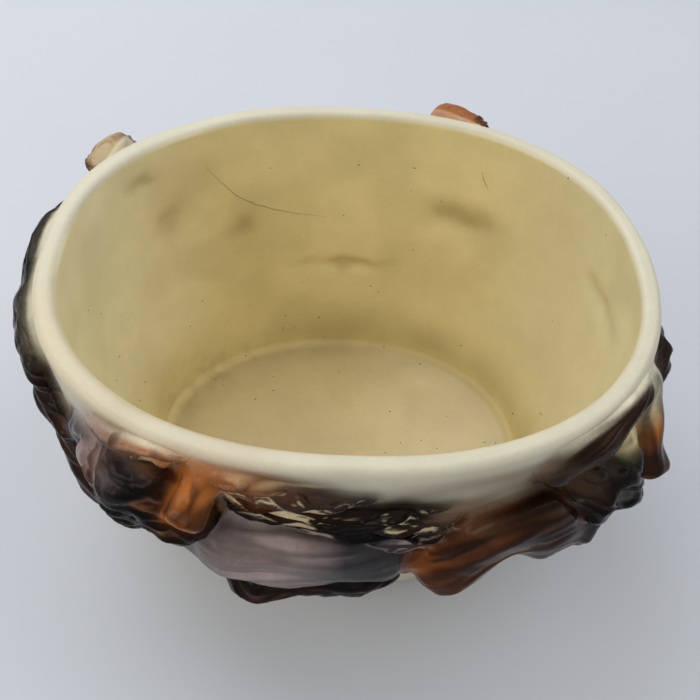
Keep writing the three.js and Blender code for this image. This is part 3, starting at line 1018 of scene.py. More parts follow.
class BarkTool:
    """Presses the furrows of bark into a sprig, by geometry nodes."""

    drift_scale: float = 0.35  # of the noise that bends the furrows, to one furrow's pitch
    ripple_scale: float = 1.7  # of the noise between them
    ripple: float = 0.9
    thinnest: float = 3.0  # reach from the middle line between which the furrows keep
    thickest: float = 14.0  # their number round a sprig, mm

    def __init__(self) -> None:
        """Builds the tree once."""
        self.shaper = Shaper("bark", Depth=1.0, Warp=1.0, Seed=0.0, Groove=0.3, Level=0)
        add, size = self.shaper.add, self.shaper.size
        finer = add("GeometryNodeSubdivisionSurface", {
            "Mesh": size["Geometry"], "Level": size["Level"]})
        grain, fade = (
            add("GeometryNodeInputNamedAttribute", {"Name": name}, data_type=kind)
            for name, kind in (("grain", "FLOAT_VECTOR"), ("fade", "FLOAT")))
        drift = add(NOISE, {
            "Vector": grain, "W": size["Seed"], "Scale": self.drift_scale, "Detail": 2.0},
            noise_dimensions="4D").outputs["Color"]
        centred = add(VECTOR, (drift, (0.5, 0.5, 0.5)), operation="SUBTRACT")
        pushed = add(VECTOR, {0: centred, "Scale": size["Warp"]}, operation="SCALE")
        warped = add(VECTOR, (grain, pushed), operation="ADD")
        ridges = add("ShaderNodeTexVoronoi", {"Vector": warped, "Scale": 1.0},
                     feature="DISTANCE_TO_EDGE", voronoi_dimensions="3D")
        furrow = add("ShaderNodeMapRange", (ridges, 0.02, size["Groove"], 1.0, 0.0),
                     interpolation_type="SMOOTHSTEP")
        fine = add(NOISE, {
            "Vector": warped, "W": size["Seed"], "Scale": self.ripple_scale, "Detail": 3.0},
            noise_dimensions="4D")
        level = add(MATH, (0.5, fine), operation="SUBTRACT")
        ripple = add(MATH, (level, self.ripple), operation="MULTIPLY")
        both = add(MATH, (furrow, ripple), operation="ADD")
        deep = add(MATH, (both, fade), operation="MULTIPLY")
        sized = add(MATH, (deep, size["Depth"]), operation="MULTIPLY")
        push = add(MATH, (sized, -MM), operation="MULTIPLY")
        offset = add(VECTOR, {0: add("GeometryNodeInputNormal"), "Scale": push}, operation="SCALE")
        kept = add("GeometryNodeStoreNamedAttribute", {
            "Geometry": finer, "Name": "pool", "Value": deep}, data_type="FLOAT")
        moved = add("GeometryNodeSetPosition", {"Geometry": kept, "Offset": offset})
        self.shaper.end(add("GeometryNodeSetShadeSmooth", (moved,)))

    def press(self, piece: Piece, sprig: Sprig, fade: Array, seed: float,
              material: Material) -> None:
        """Presses the furrows into one piece.

        Args:
            piece: The piece, whose mesh is replaced.
            sprig: Its sprig.
            fade: How much of the depth each point gets.
            seed: Which part of the pattern it gets.
            material: Its glaze.
        """
        along, turn, far, _ = sprig.follow(points_of(piece.data))
        grain = sprig.bark.value
        around = turn * np.clip(far, self.thinnest, self.thickest) + grain.twist * along
        store(piece.data, fade=fade, grain=np.stack([
            along / (grain.pitch * grain.stretch), around / grain.pitch,
            0 * along + 1.37 * seed], -1))
        self.shaper.run(piece, material, Depth=grain.depth, Warp=grain.warp, Seed=seed,
                        Groove=grain.groove, Level=grain.level)


@dataclass
class Workshop:
    """What every sub-assembly needs: the finishes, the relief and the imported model's box."""

    finishes: Finishes
    carving: Carving
    painter: Painter
    bark: BarkTool
    low: Array
    high: Array

    def keep_inside(self, piece: Piece) -> None:
        """Keeps a piece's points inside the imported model's box."""
        move_points(piece.data, np.clip(points_of(piece.data), self.low, self.high))


@dataclass
class Relief:
    """One side of the relief."""

    name: str
    sprigs: tuple[Sprig, ...]
    seam: float = 2.2  # distance from a seam over which the carving fades in
    seed_step: float = 3.7  # between the bark patterns of two pieces
    ring_pitch: float = 2.3
    ring_depth: float = 0.22
    vein_spacing: float = 5.0
    vein_height: float = 0.55

    def build(self, shop: Workshop) -> None:
        """Makes and dresses the pieces of this side.

        Args:
            shop: What they need.
        """
        for number, sprig in enumerate(self.sprigs):
            piece = self.carve(shop, sprig, float(number) * self.seed_step + len(self.name))
            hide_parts(sprig.node)
            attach(piece, "root")
            LOG.info("%s: %s, %d faces", self.name, piece.name, len(piece.data.polygons))

    def carve(self, shop: Workshop, sprig: Sprig, seed: float) -> Piece:
        """Makes one piece.

        Args:
            shop: What it needs.
            sprig: Its sprig.
            seed: Which part of the bark pattern it gets.

        Returns:
            The piece.
        """
        points, quads = shop.carving.cut(sprig.node)
        piece = plain_mesh(f"{sprig.node}_glazed", points, quads[:, ::-1])
        nearest, each = shop.carving.nearest(points)
        own = each.pop(sprig.node)
        others = np.min(list(each.values()) or [nearest + FAR], axis=0)
        seam = smooth_step(0.0, self.seam, (others - own) / 2)
        stand = Survey.of(points).stand
        fade = seam * smooth_step(0.8, 3.5, stand) * smooth_step(4.0, 1.0, own)
        grain = sprig.bark.value
        lumps = clouds(points, grain.lump_size, int(seed * 10)) - 0.5
        rise = 2 * grain.lump * lumps * fade
        along, turn, far, share = sprig.follow(points)
        face = smooth_step(0.965, 0.995, share) if sprig.sawn else 0 * share
        if sprig.bark is Bark.LEAFY:
            lines = self.veins(along, far * np.sin(turn))
            rise = rise + self.vein_height * lines * fade
        else:
            lines = self.rings(points, far) * face
            rise = rise * (1 - 0.7 * face) - self.ring_depth * lines * seam
        moved = points + normals_of(piece.data) * rise[:, None]
        if sprig.bark is Bark.STRINGY:
            # A strand runs out flat on the wall
            degrees, height = OVAL.locate(points)
            foot = OVAL.place(degrees, height / OVAL.rim, 0 * stand)
            flat = np.maximum(stand - 0.3, 0) * smooth_step(0.8, 1.0, share)
            moved -= OVAL.place(degrees, height / OVAL.rim, flat) - foot
        move_points(piece.data, moved)
        store(piece.data, face=face, lines=lines)
        shop.bark.press(piece, sprig, fade * (1 - face), seed, shop.finishes.glazes[sprig.slot])
        shop.keep_inside(piece)
        self.glaze(piece.data, shop, sprig)
        return piece

    @staticmethod
    def glaze(mesh: Mesh, shop: Workshop, sprig: Sprig) -> None:
        """Stores the colours of one piece.

        Args:
            mesh: The piece's mesh.
            shop: What it needs.
            sprig: Its sprig.
        """
        points = points_of(mesh)
        face, lines, fade, pool = (
            read(mesh.attributes[name].data, "value") for name in ("face", "lines", "fade", "pool"))
        if sprig.bark is Bark.LEAFY:
            pool = np.clip(0.75 - lines, 0, 1) * fade
        else:
            pool = np.clip(pool + 0.45 * lines, 0, 1)
        colour = shop.painter.colour(points, normals_of(mesh), pool ** sprig.bark.value.wipe)
        if sprig.sawn:
            # Bare wood inside a ring of bark
            far = sprig.follow(points)[2]
            bare = 0.7 * smooth_step(0.2, 0.55, Cloud.BARE_WOOD.at(points))
            bare *= np.clip(face - lines, 0, 1)
            bare *= smooth_step(0.9, 0.65, far / far[face > 0.5].max())
            colour[:, :3] = toward(colour[:, :3], sprig.crest.light, bare)
        store(mesh, pool=pool, glaze=colour)
        drop(mesh, "grain", "fade", "face", "lines")

    def rings(self, points: Array, far: Array) -> Array:
        """Draws the year rings of sawn wood.

        Args:
            points: The points.
            far: Their distances from the middle.

        Returns:
            Shares from 0 between the rings to 0.4 on them.
        """
        worn = far + 2.4 * (Cloud.RING_SHAPES.at(points) - 0.5)
        gaps = smooth_step(0.4, 0.7, Cloud.RING_GAPS.at(points))
        return (0.5 + 0.5 * np.cos(2 * math.pi * worn / self.ring_pitch)) * gaps * 0.4

    def veins(self, along: Array, side: Array) -> Array:
        """Draws a leaf's midrib and side veins.

        Args:
            along: Distances along the leaf.
            side: Distances from its middle.

        Returns:
            Shares from 0 between the veins to 1 on them.
        """
        rib = np.exp(-(side / 0.9) ** 2)
        comb = (along - 0.8 * np.abs(side)) / self.vein_spacing % 1 - 0.5
        comb = np.abs(comb) * self.vein_spacing
        return np.maximum(rib, np.exp(-(comb / 0.55) ** 2) * smooth_step(9, 6, np.abs(side)))


def strand(node: str, slot: Slot, start: Place, stop: Place, tints: tuple[Glaze, ...],
           crest: Glaze, shine: float, foot: float = 1.2) -> Sprig:
    """Makes a strand of bark that weaves up and down under the rim.

    Args:
        node: Its node.
        slot: Its slot.
        start: Angle and height share of one end, and how far it weaves as such a share.
        stop: Angle and height share of the other end, and where in radians the weave starts.
        tints: Its colours from start to stop.
        crest: Colour of its ridges, and of their painted highlight where they face up.
        shine: How much of them is worn and painted with highlight.
        foot: Reach of its fillet to the wall.

    Returns:
        The strand.
    """
    line = []
    for share in np.linspace(0, 1, 5):
        at = start[0] + (stop[0] - start[0]) * share
        weave = start[2] * math.sin(2 * math.pi * share + stop[2])
        up = start[1] + (stop[1] - start[1]) * share + weave
        line.append((float(at), float(up), 1.2))
    return Sprig(node, slot, Bark.STRINGY, tuple(line), tints, crest, shine, softness=2,
                 fillet=0.9, foot=foot)


FRONT = (
    Sprig("front_log", Slot.MAUVE, Bark.SMOOTH,
          ((244, .6, 1), (252, .62, 3), (263, .61, 3), (276, .56, 0)),
          (SLATE, MAUVE, MAUVE, SLATE, SLATE), MAUVE),
    Sprig("front_twig", Slot.BROWN, Bark.TWIGGY,
          ((251, .45, 6), (254.5, .43, 10), (259, .44, 9), (265, .455, 7), (270.5, .44, 7),
           (275, .425, 6), (279, .43, 4)),
          (SOOT, BROWN, UMBER, UMBER), RUST, softness=3),
    Sprig("left_stub", Slot.AMBER, Bark.SAWN, ((249, .9, -3), (247, .84, 13)),
          (AMBER, AMBER, RUST), AMBER, 0.8, softness=2, foot=2, sawn=True),
    Sprig("front_bud_upper", Slot.BLACK, Bark.TWIGGY, ((248, .475, 3), (248, .455, 3)),
          (SOOT,), SLATE, softness=3),
    Sprig("front_bud_lower", Slot.BLACK, Bark.TWIGGY, ((245.5, .41, 3), (245.5, .39, 3)),
          (SOOT,), SLATE, softness=3),
    Sprig("front_sprout", Slot.AMBER, Bark.TWIGGY,
          ((277, .5, 2), (279.5, .53, 3), (282, .58, 3)), (SLATE, RUST), softness=3),
    strand("front_strand_1", Slot.MAUVE, (249, .932, .01), (272, .882, 0),
           (RUST, BROWN, UMBER), OLD_CREAM, 2.2, foot=2.4),
    strand("front_strand_2", Slot.BLACK, (251, .877, .012), (284, .804, 2),
           (RUST, UMBER, SOOT), OLD_CREAM, 2.0),
    strand("front_strand_3", Slot.BROWN, (253, .821, .012), (289, .738, 4),
           (UMBER, SOOT, BROWN), OLD_CREAM, 1.7),
    strand("front_strand_4", Slot.BLACK, (259, .766, .012), (291, .671, 1),
           (SOOT, SOOT, UMBER), MAUVE, 1.2),
    strand("front_strand_5", Slot.MAUVE, (268, .71, .008), (286, .621, 3),
           (SOOT, SLATE, RUST), MAUVE, 0.95),
)

LEFT = (
    Sprig("left_burl", Slot.BLACK, Bark.BURRED, ((230, .79, 1), (236, .79, 3), (244, .76, 2)),
          (RUST, SOOT, SOOT, UMBER)),
    Sprig("left_knot_heart", Slot.MAUVE, Bark.SMOOTH, ((222, .75, 3), (222, .73, 3)),
          (MAUVE,), OLD_CREAM, softness=3),
    Sprig("left_end_plate_upper", Slot.BLACK, Bark.PLATED,
          ((206, .87, 2), (195, .88, 2), (182, .87, 2), (170, .89, 2), (158, .88, 2)),
          (UMBER, SOOT, UMBER), BROWN),
    Sprig("left_end_plate_lower", Slot.BROWN, Bark.PLATED,
          ((212, .72, 2), (201, .74, 2), (188, .72, 2), (175, .75, 2), (164, .74, 2)),
          (BROWN, UMBER, BROWN), RUST),
    Sprig("left_end_limb", Slot.BROWN, Bark.FURROWED,
          ((228, .59, 1), (214, .55, 1), (199, .57, 0), (183, .54, 0), (168, .56, 1),
           (153, .58, 1)),
          (UMBER, BROWN, UMBER, RUST)),
    strand("left_strand", Slot.AMBER, (226, .94, .006), (246, .955, 3),
           (MAUVE, AMBER), OLD_CREAM, 0.9),
    Sprig("left_knot_ring", Slot.MAUVE, Bark.SMOOTH, ((222, .76, 1), (222, .72, 1)),
          (SLATE,), MAUVE, softness=3),
)

RIGHT = (
    Sprig("right_burl", Slot.BLACK, Bark.BURRED, ((311, .8, 3), (316, .75, 6), (323, .68, 6)),
          (SOOT,), UMBER),
    Sprig("right_limb", Slot.BROWN, Bark.SMOOTH,
          ((287, .54, 4), (292, .61, 4), (299, .66, 4), (306, .66, 6), (313, .58, 7)),
          (RUST, BROWN, BROWN, SOOT), shine=0.3),
    Sprig("right_stub", Slot.AMBER, Bark.SMOOTH, ((333, .88, -3), (326, .71, 17)),
          (CREAM, OLD_CREAM, AMBER, BROWN, BROWN), shine=0.3, softness=14),
    Sprig("right_arm", Slot.BROWN, Bark.FURROWED,
          ((304, .87, 0), (310, .91, 0), (318, .92, 0), (328, .94, 0)),
          (UMBER, BROWN, BROWN, BROWN), RUST, softness=4),
    Sprig("right_bud", Slot.AMBER, Bark.SMOOTH, ((321, .85, 3), (321, .83, 3)),
          (HONEY,), OLD_CREAM, softness=3),
    Sprig("right_end_plate_upper", Slot.BROWN, Bark.PLATED,
          ((336, .78, 2), (343, .82, 2), (351, .8, 2), (361, .75, 2)),
          (BROWN, SOOT, UMBER), BROWN),
    Sprig("right_end_limb", Slot.BROWN, Bark.FURROWED,
          ((322, .56, 1), (338, .59, 1), (354, .55, 0), (371, .58, 0), (387, .6, 0)),
          (UMBER, BROWN, UMBER, BROWN)),
)

BACK = (
    Sprig("back_limb", Slot.BROWN, Bark.FURROWED,
          ((149, .57, 1), (134, .61, 1), (117, .68, 2), (98, .66, 1), (80, .57, 1), (62, .55, 2),
           (46, .6, 0), (32, .61, 0)),
          (RUST, BROWN, UMBER, BROWN, UMBER, BROWN)),
    Sprig("back_left_stub", Slot.AMBER, Bark.SAWN, ((141, .65, -3), (143, .81, 2), (146, .97, 5.3)),
          (BROWN, RUST, RUST), OLD_CREAM, softness=4, sawn=True),
    Sprig("back_right_stub", Slot.AMBER, Bark.SAWN, ((62, .6, -3), (66, .79, 2), (68, .975, 5.3)),
          (BROWN, RUST, RUST), softness=4, sawn=True),
    Sprig("back_twig", Slot.BROWN, Bark.TWIGGY,
          ((103, .62, 1), (100, .5, 1), (94, .4, 1), (85, .33, 1)), (UMBER, BROWN), softness=2),
    *(Sprig(f"back_leaf_{name}", Slot.AMBER, Bark.LEAFY, line, (BROWN, AMBER, RUST), HONEY,
            softness=2) for name, line in (
        ("upper", ((102, .5, 1), (121, .42, 1))),
        ("middle", ((97, .4, 1), (107, .22, 1))),
        ("lower", ((85, .33, 1), (66, .28, 1))))),
)

PASSES = (
    # Painted shade: an older cream over the left lip, which the window lamp lights most
    Spray(214, 1.0, 34, .06, OLD_CREAM, .5),
    Spray(257.5, .945, 11, .032, UMBER, .9),
    Spray(255, .955, 2.6, .007, OLD_CREAM, .7),
    Spray(260, .944, 2.6, .007, OLD_CREAM, .7),
    Spray(265, .94, 2.4, .006, OLD_CREAM, .6),
    Spray(254, .95, 9, .045, AMBER, .45),
    Spray(245, .955, 8, .03, AMBER, .7),
    Spray(232, .96, 7, .03, RUST, .5),
    Spray(226, .88, 9, .08, MAUVE, .65),
    Spray(285, .92, 14, .035, TAUPE, .5),
    Spray(279, .885, 7, .03, UMBER, .45),
    Spray(288, .82, 6, .03, UMBER, .5),
    Spray(297, .87, 14, .07, TAUPE, .6),
    Spray(304, .83, 9, .07, BROWN, .6),
    Spray(299, .915, 13, .024, TAUPE, .5),
    Spray(287, .79, 6, .05, TAUPE, .75),
    Spray(310, .935, 8, .03, BROWN, .6),
    Spray(315, .965, 6, .022, BROWN, .6),
    Spray(292, .76, 7, .06, RUST, .4),
)


# The pot itself


@dataclass(frozen=True)
class Dent:
    """Soft hollow or lump of the inner wall, as a shape, as a stain or as both."""

    at: float
    height: float
    spread: float
    rise: float
    depth: float
    glaze: Glaze = HONEY
    strength: float = 0.0

    def share(self, spot: Survey) -> Array:
        """Gives how near points are to the middle, from 0 to 1."""
        along = np.radians(spot.apart(self.at)) * (OVAL.half_length + OVAL.half_width) / 2
        return np.exp(-1.5 * ((along / self.spread) ** 2
                              + ((spot.height - self.height) / self.rise) ** 2))


@dataclass
class PotBody:
    """The cast body: foot, outer wall, lip, inner wall, cove and floor."""

    around: int = 384
    lip_round: float = 3.0
    heel_round: float = 5.0
    cove_round: float = 3.0
    bare_foot: float = 0.05  # height under which the clay is bare
    stain_run: float = 9.0  # how far the hollows' stains have run
    foot_band_height: float = 28.0  # height above the floor to which the wall's foot is darkened
    dents: tuple[Dent, ...] = (
        Dent(61, 86, 17, 9, 2.6, OLIVE, .5),
        Dent(117, 78, 8, 8, 1.2, OLIVE, .42),
        Dent(137, 93, 11, 9, 1.0, OLIVE, .34),
        Dent(145, 119, 9, 5, .7, OLIVE, .42),
        Dent(88, 52, 22, 3.5, 1.6, OLIVE, .34),
        Dent(6, 99, 16, 5, 1.6, OLIVE, .14),
        Dent(64, 58, 34, 24, 0.0, OLIVE, .16),
        Dent(355, 109, 9, 7, -1.0, CREAM, .25),
        Dent(240, 98, 20, 14, 2.0),
        Dent(266, 80, 26, 14, 1.6),
        Dent(303, 85, 26, 14, 1.8),
        Dent(325, 101, 16, 12, 2.0),
        Dent(190, 96, 22, 10, 1.2),
        Dent(30, 70, 18, 12, 1.0),
    )

    @staticmethod
    def arc(offset: float, height: float, radius: float, start: float, steps: int) -> list[Place]:
        """Draws a quarter round of the section from a start in degrees, as rows."""
        return [(offset + radius * math.cos(t), 1.0, height + radius * math.sin(t))
                for t in np.radians(np.linspace(start, start + 90, steps))]

    def profile(self) -> Array:
        """Draws half a section, from the foot's middle over the lip to the floor's middle.

        Returns:
            Rows of offset from the rim's oval, share of the ring's size, and height.
        """
        foot = OVAL.wall - float(OVAL.draw_in(0.0)) - self.heel_round
        spring = OVAL.rim - self.lip_round
        top = OVAL.floor + self.cove_round
        cove = -float(OVAL.draw_in(top)) - self.cove_round
        rows = [(foot, share, 0.0) for share in np.linspace(0, 1, 30)[:-1]]
        rows += self.arc(foot, self.heel_round, self.heel_round, -90, 9)
        rows += [(OVAL.wall - float(OVAL.draw_in(h)), 1.0, h)
                 for h in np.linspace(self.heel_round, spring, 74)[1:]]
        rows += self.arc(OVAL.wall - self.lip_round, spring, self.lip_round, 0, 9)[1:]
        rows += self.arc(self.lip_round, spring, self.lip_round, 90, 9)
        rows += [(-float(OVAL.draw_in(h)), 1.0, h) for h in np.linspace(spring, top, 70)[1:]]
        rows += self.arc(cove, top, self.cove_round, -90, 12)[-2::-1]
        rows += [(cove, share, OVAL.floor) for share in np.linspace(1, 0, 30)[1:]]
        return np.array(rows)

    def shaper(self) -> Shaper:
        """Builds the tree that turns the section into the oval body.

        Returns:
            A tree whose geometry input is the section as loose points.
        """
        shaper = Shaper(
            "oval_body", Half_Length=OVAL.half_length * MM, Half_Width=OVAL.half_width * MM,
            Rim_Height=OVAL.rim * MM, Rim_Squareness=OVAL.rim_squareness,
            Floor_Squareness=OVAL.floor_squareness, Around=self.around)
        add, size = shaper.add, shaper.size
        rows = add("GeometryNodeAttributeDomainSize", {"Geometry": size["Geometry"]})
        grid = add("GeometryNodeMeshGrid", {
            "Size X": 1.0, "Size Y": 1.0, "Vertices Y": rows,
            "Vertices X": add(MATH, (size["Around"], 1.0), operation="ADD")})
        split = add("ShaderNodeSeparateXYZ", (grid.outputs["UV Map"],)).outputs
        last = add(MATH, (rows, 1.0), operation="SUBTRACT")
        row = add(MATH, (add(MATH, (split[1], last), operation="MULTIPLY"),), operation="ROUND")
        sample = add("GeometryNodeSampleIndex", {
            "Geometry": size["Geometry"], "Value": add("GeometryNodeInputPosition"),
            "Index": row}, data_type="FLOAT_VECTOR")
        section = add("ShaderNodeSeparateXYZ", (sample,)).outputs
        turn = add(MATH, (split[0], 2 * math.pi), operation="MULTIPLY")
        share = add("ShaderNodeClamp", (
            add(MATH, (section[2], size["Rim Height"]), operation="DIVIDE"),))
        square = add("ShaderNodeMapRange", {
            "Value": share, "To Min": size["Floor Squareness"], "To Max": size["Rim Squareness"]})
        power = add(MATH, (2.0, square), operation="DIVIDE")
        ends = []
        for wave, half in (("COSINE", "Half Length"), ("SINE", "Half Width")):
            swing = add(MATH, (turn,), operation=wave)
            bent = add(MATH, (add(MATH, (swing,), operation="ABSOLUTE"), power), operation="POWER")
            bent = add(MATH, (add(MATH, (swing,), operation="SIGN"), bent), operation="MULTIPLY")
            reach = add(MATH, (size[half], section[0]), operation="ADD")
            scale = add(MATH, (section[1], 1 / MM), operation="MULTIPLY")
            reach = add(MATH, (reach, scale), operation="MULTIPLY")
            ends.append(add(MATH, (bent, reach), operation="MULTIPLY"))
        place = add("ShaderNodeCombineXYZ", (*ends, section[2]))
        laid = add("GeometryNodeSetPosition", {"Geometry": grid, "Position": place})
        closed = add("GeometryNodeMergeByDistance", {"Geometry": laid, "Distance": 0.02 * MM})
        shaper.end(add("GeometryNodeSetShadeSmooth", (closed,)))
        return shaper

    def build(self, shop: Workshop) -> Piece:
        """Makes and dresses the body.

        Args:
            shop: What it needs.

        Returns:
            The finished body.
        """
        piece = plain_mesh("pot_body_glazed", self.profile())
        self.shaper().run(piece, shop.finishes.glazes[Slot.CREAM])
        turn_outwards(piece.data)
        self.soften_wall(piece.data)
        shop.keep_inside(piece)
        self.paint(piece.data, shop)
        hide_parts("pot_body")
        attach(piece, "root")
        LOG.info("body: %s, %d faces", piece.name, len(piece.data.polygons))
        return piece

    def soften_wall(self, mesh: Mesh) -> None:
        """Gives the inner wall its hollows and the lip its uneven width.

        Args:
            mesh: Mesh of the body.
        """
        points = points_of(mesh)
        spot = Survey.of(points)
        height, stand, turn = spot.height, spot.stand, np.radians(spot.degrees)
        inside = smooth_step(-3.0, -5.5, stand)
        inside *= smooth_step(OVAL.floor + 1, OVAL.floor + 14, height)
        dip = sum(dent.depth * dent.share(spot) for dent in self.dents)
        dip = dip * inside * smooth_step(OVAL.rim, OVAL.rim - 10, height)
        # The lip is widest at the left
        wide = 0.75 * np.cos(np.radians(spot.apart(185))) + 0.7 + 0.3 * np.sin(3 * turn + 1)
        lip = wide * smooth_step(-2.0, -6.0, stand) * smooth_step(80, 128, height)
        # A hand has sponged the lip, so neither its edge nor its top is quite even
        sponged = smooth_step(OVAL.rim - 4.0, OVAL.rim - 0.5, height)
        edge = 0.8 * (Cloud.LIP_EDGE.at(points) - 0.5) * sponged * smooth_step(-3.0, -0.5, stand)
        outward = OVAL.normal(turn, np.clip(height, 1, OVAL.rim))
        outward[:, 2] = 0
        points += outward * (dip - lip + edge)[:, None]
        points[:, 2] -= 1.1 * Cloud.LIP_TOP.at(points) ** 2 * sponged
        move_points(mesh, points)

    def paint(self, mesh: Mesh, shop: Workshop) -> None:
        """Stores the colours of the body and gives its foot the bare clay.

        Args:
            mesh: Mesh of the body.
            shop: What it needs.
        """
        points = points_of(mesh)
        spot = Survey.of(points)
        above = spot.height - OVAL.floor
        inward = np.maximum(-spot.stand - OVAL.wall, 0)
        crease = np.hypot(above - 1.2, inward - 0.8 * self.cove_round)
        inside = smooth_step(-3.0, -5.0, spot.stand)
        inside *= smooth_step(OVAL.rim - 1.0, OVAL.rim - 3.0, spot.height)
        colour = shop.painter.colour(points, normals_of(mesh), np.zeros(len(points)))
        honey = self.honey(points, spot)
        # The floor is paler, most of all at the right, which is painted light on the side that the
        # window lamp lights most, and its edge wanders
        wander = 1.2 * (Cloud.FLOOR_EDGE.at(points) - 0.5)
        floor = smooth_step(self.cove_round - 1.4, self.cove_round + 0.4, inward + wander)
        floor *= smooth_step(2.5, 1.0, above)
        laid = toward(OLD_CREAM.light, IVORY.light, smooth_step(-10, 70, points[:, 0]))
        honey = toward(honey, laid, 0.5 * floor)
        # The wall's foot is darker in a band that fades up from the floor, is weaker at the left,
        # and ends crisply where the floor starts
        band = smooth_step(self.foot_band_height, 2, above)
        band *= 0.75 + 0.5 * Cloud.SOIL_BAND.at(points)
        band *= 0.4 + 0.6 * smooth_step(1, 9, above)
        band *= 1 - 0.8 * smooth_step(20, -60, points[:, 0])
        darkened = 0.36 * band * (1 - floor)
        darkened += 0.12 * smooth_step(0.45, 0.8, Cloud.HAZE.at(points))
        # The floor is darker towards the left and next to its edge
        darkened += floor * (0.1 * smooth_step(80, -40, points[:, 0])
                         + 0.05 * smooth_step(12, 0, inward - self.cove_round))
        soiled = 0.12 * np.exp(-(crease / 12) ** 2) * smooth_step(40, 15, np.abs(spot.apart(145)))
        darkened += soiled * smooth_step(0.4, 0.75, Cloud.CLINGING_SOIL.at(points))
        honey = toward(honey, GRIME.light, np.clip(darkened, 0, 0.8))
        colour[:, :3] = toward(colour[:, :3], honey, inside)
        freckles = 0.15 + np.exp(-(crease / 9) ** 2) + 0.5 * smooth_step(60, 20, spot.height)
        freckles *= inside * (above > -0.5) * smooth_step(0.35, 0.7, Cloud.FRECKLES.at(points))
        store(mesh, glaze=colour, pool=np.exp(-(crease / 7) ** 2) * inside, freckles=freckles)
        mesh.materials.clear()
        mesh.materials.append(shop.finishes.glazes[Slot.CREAM])
        mesh.materials.append(shop.finishes.biscuit)
        foot = read(mesh.polygons, "center", 3)[:, 2] < self.bare_foot * MM
        mesh.polygons.foreach_set("material_index", foot.astype(np.int32))

    def honey(self, points: Array, spot: Survey) -> Array:
        """Mixes the clean glaze of the inside with the stains of its hollows.

        Args:
            points: The points.
            spot: Where they lie.

        Returns:
            Linear colours.
        """
        # The glaze is palest at the two ends of the oval, partly its own tone. The left end is
        # painted lighter, as painted light where the window lamp leaves that wall in shade, and the
        # right end duller, as painted shade where that lamp lights it
        side = np.cos(np.radians(spot.degrees))
        ends = smooth_step(0.5, 1.0, np.abs(side)) * smooth_step(10, 50, spot.height)
        pale = np.where((side < 0)[:, None], PALE_HONEY.light, DULL_HONEY.light)
        honey = toward(HONEY.light, pale, (0.65 - 0.1 * side) * ends)
        # The stains have run a little, so they are no even ovals
        run = Survey(spot.degrees + self.stain_run * (Cloud.STAINS_AROUND.at(points) - 0.5),
                     spot.height + self.stain_run * (Cloud.STAINS_UP.at(points) - 0.5),
                     spot.stand)
        for dent in self.dents:
            honey = toward(honey, dent.glaze.light, dent.strength * dent.share(run))
        return honey


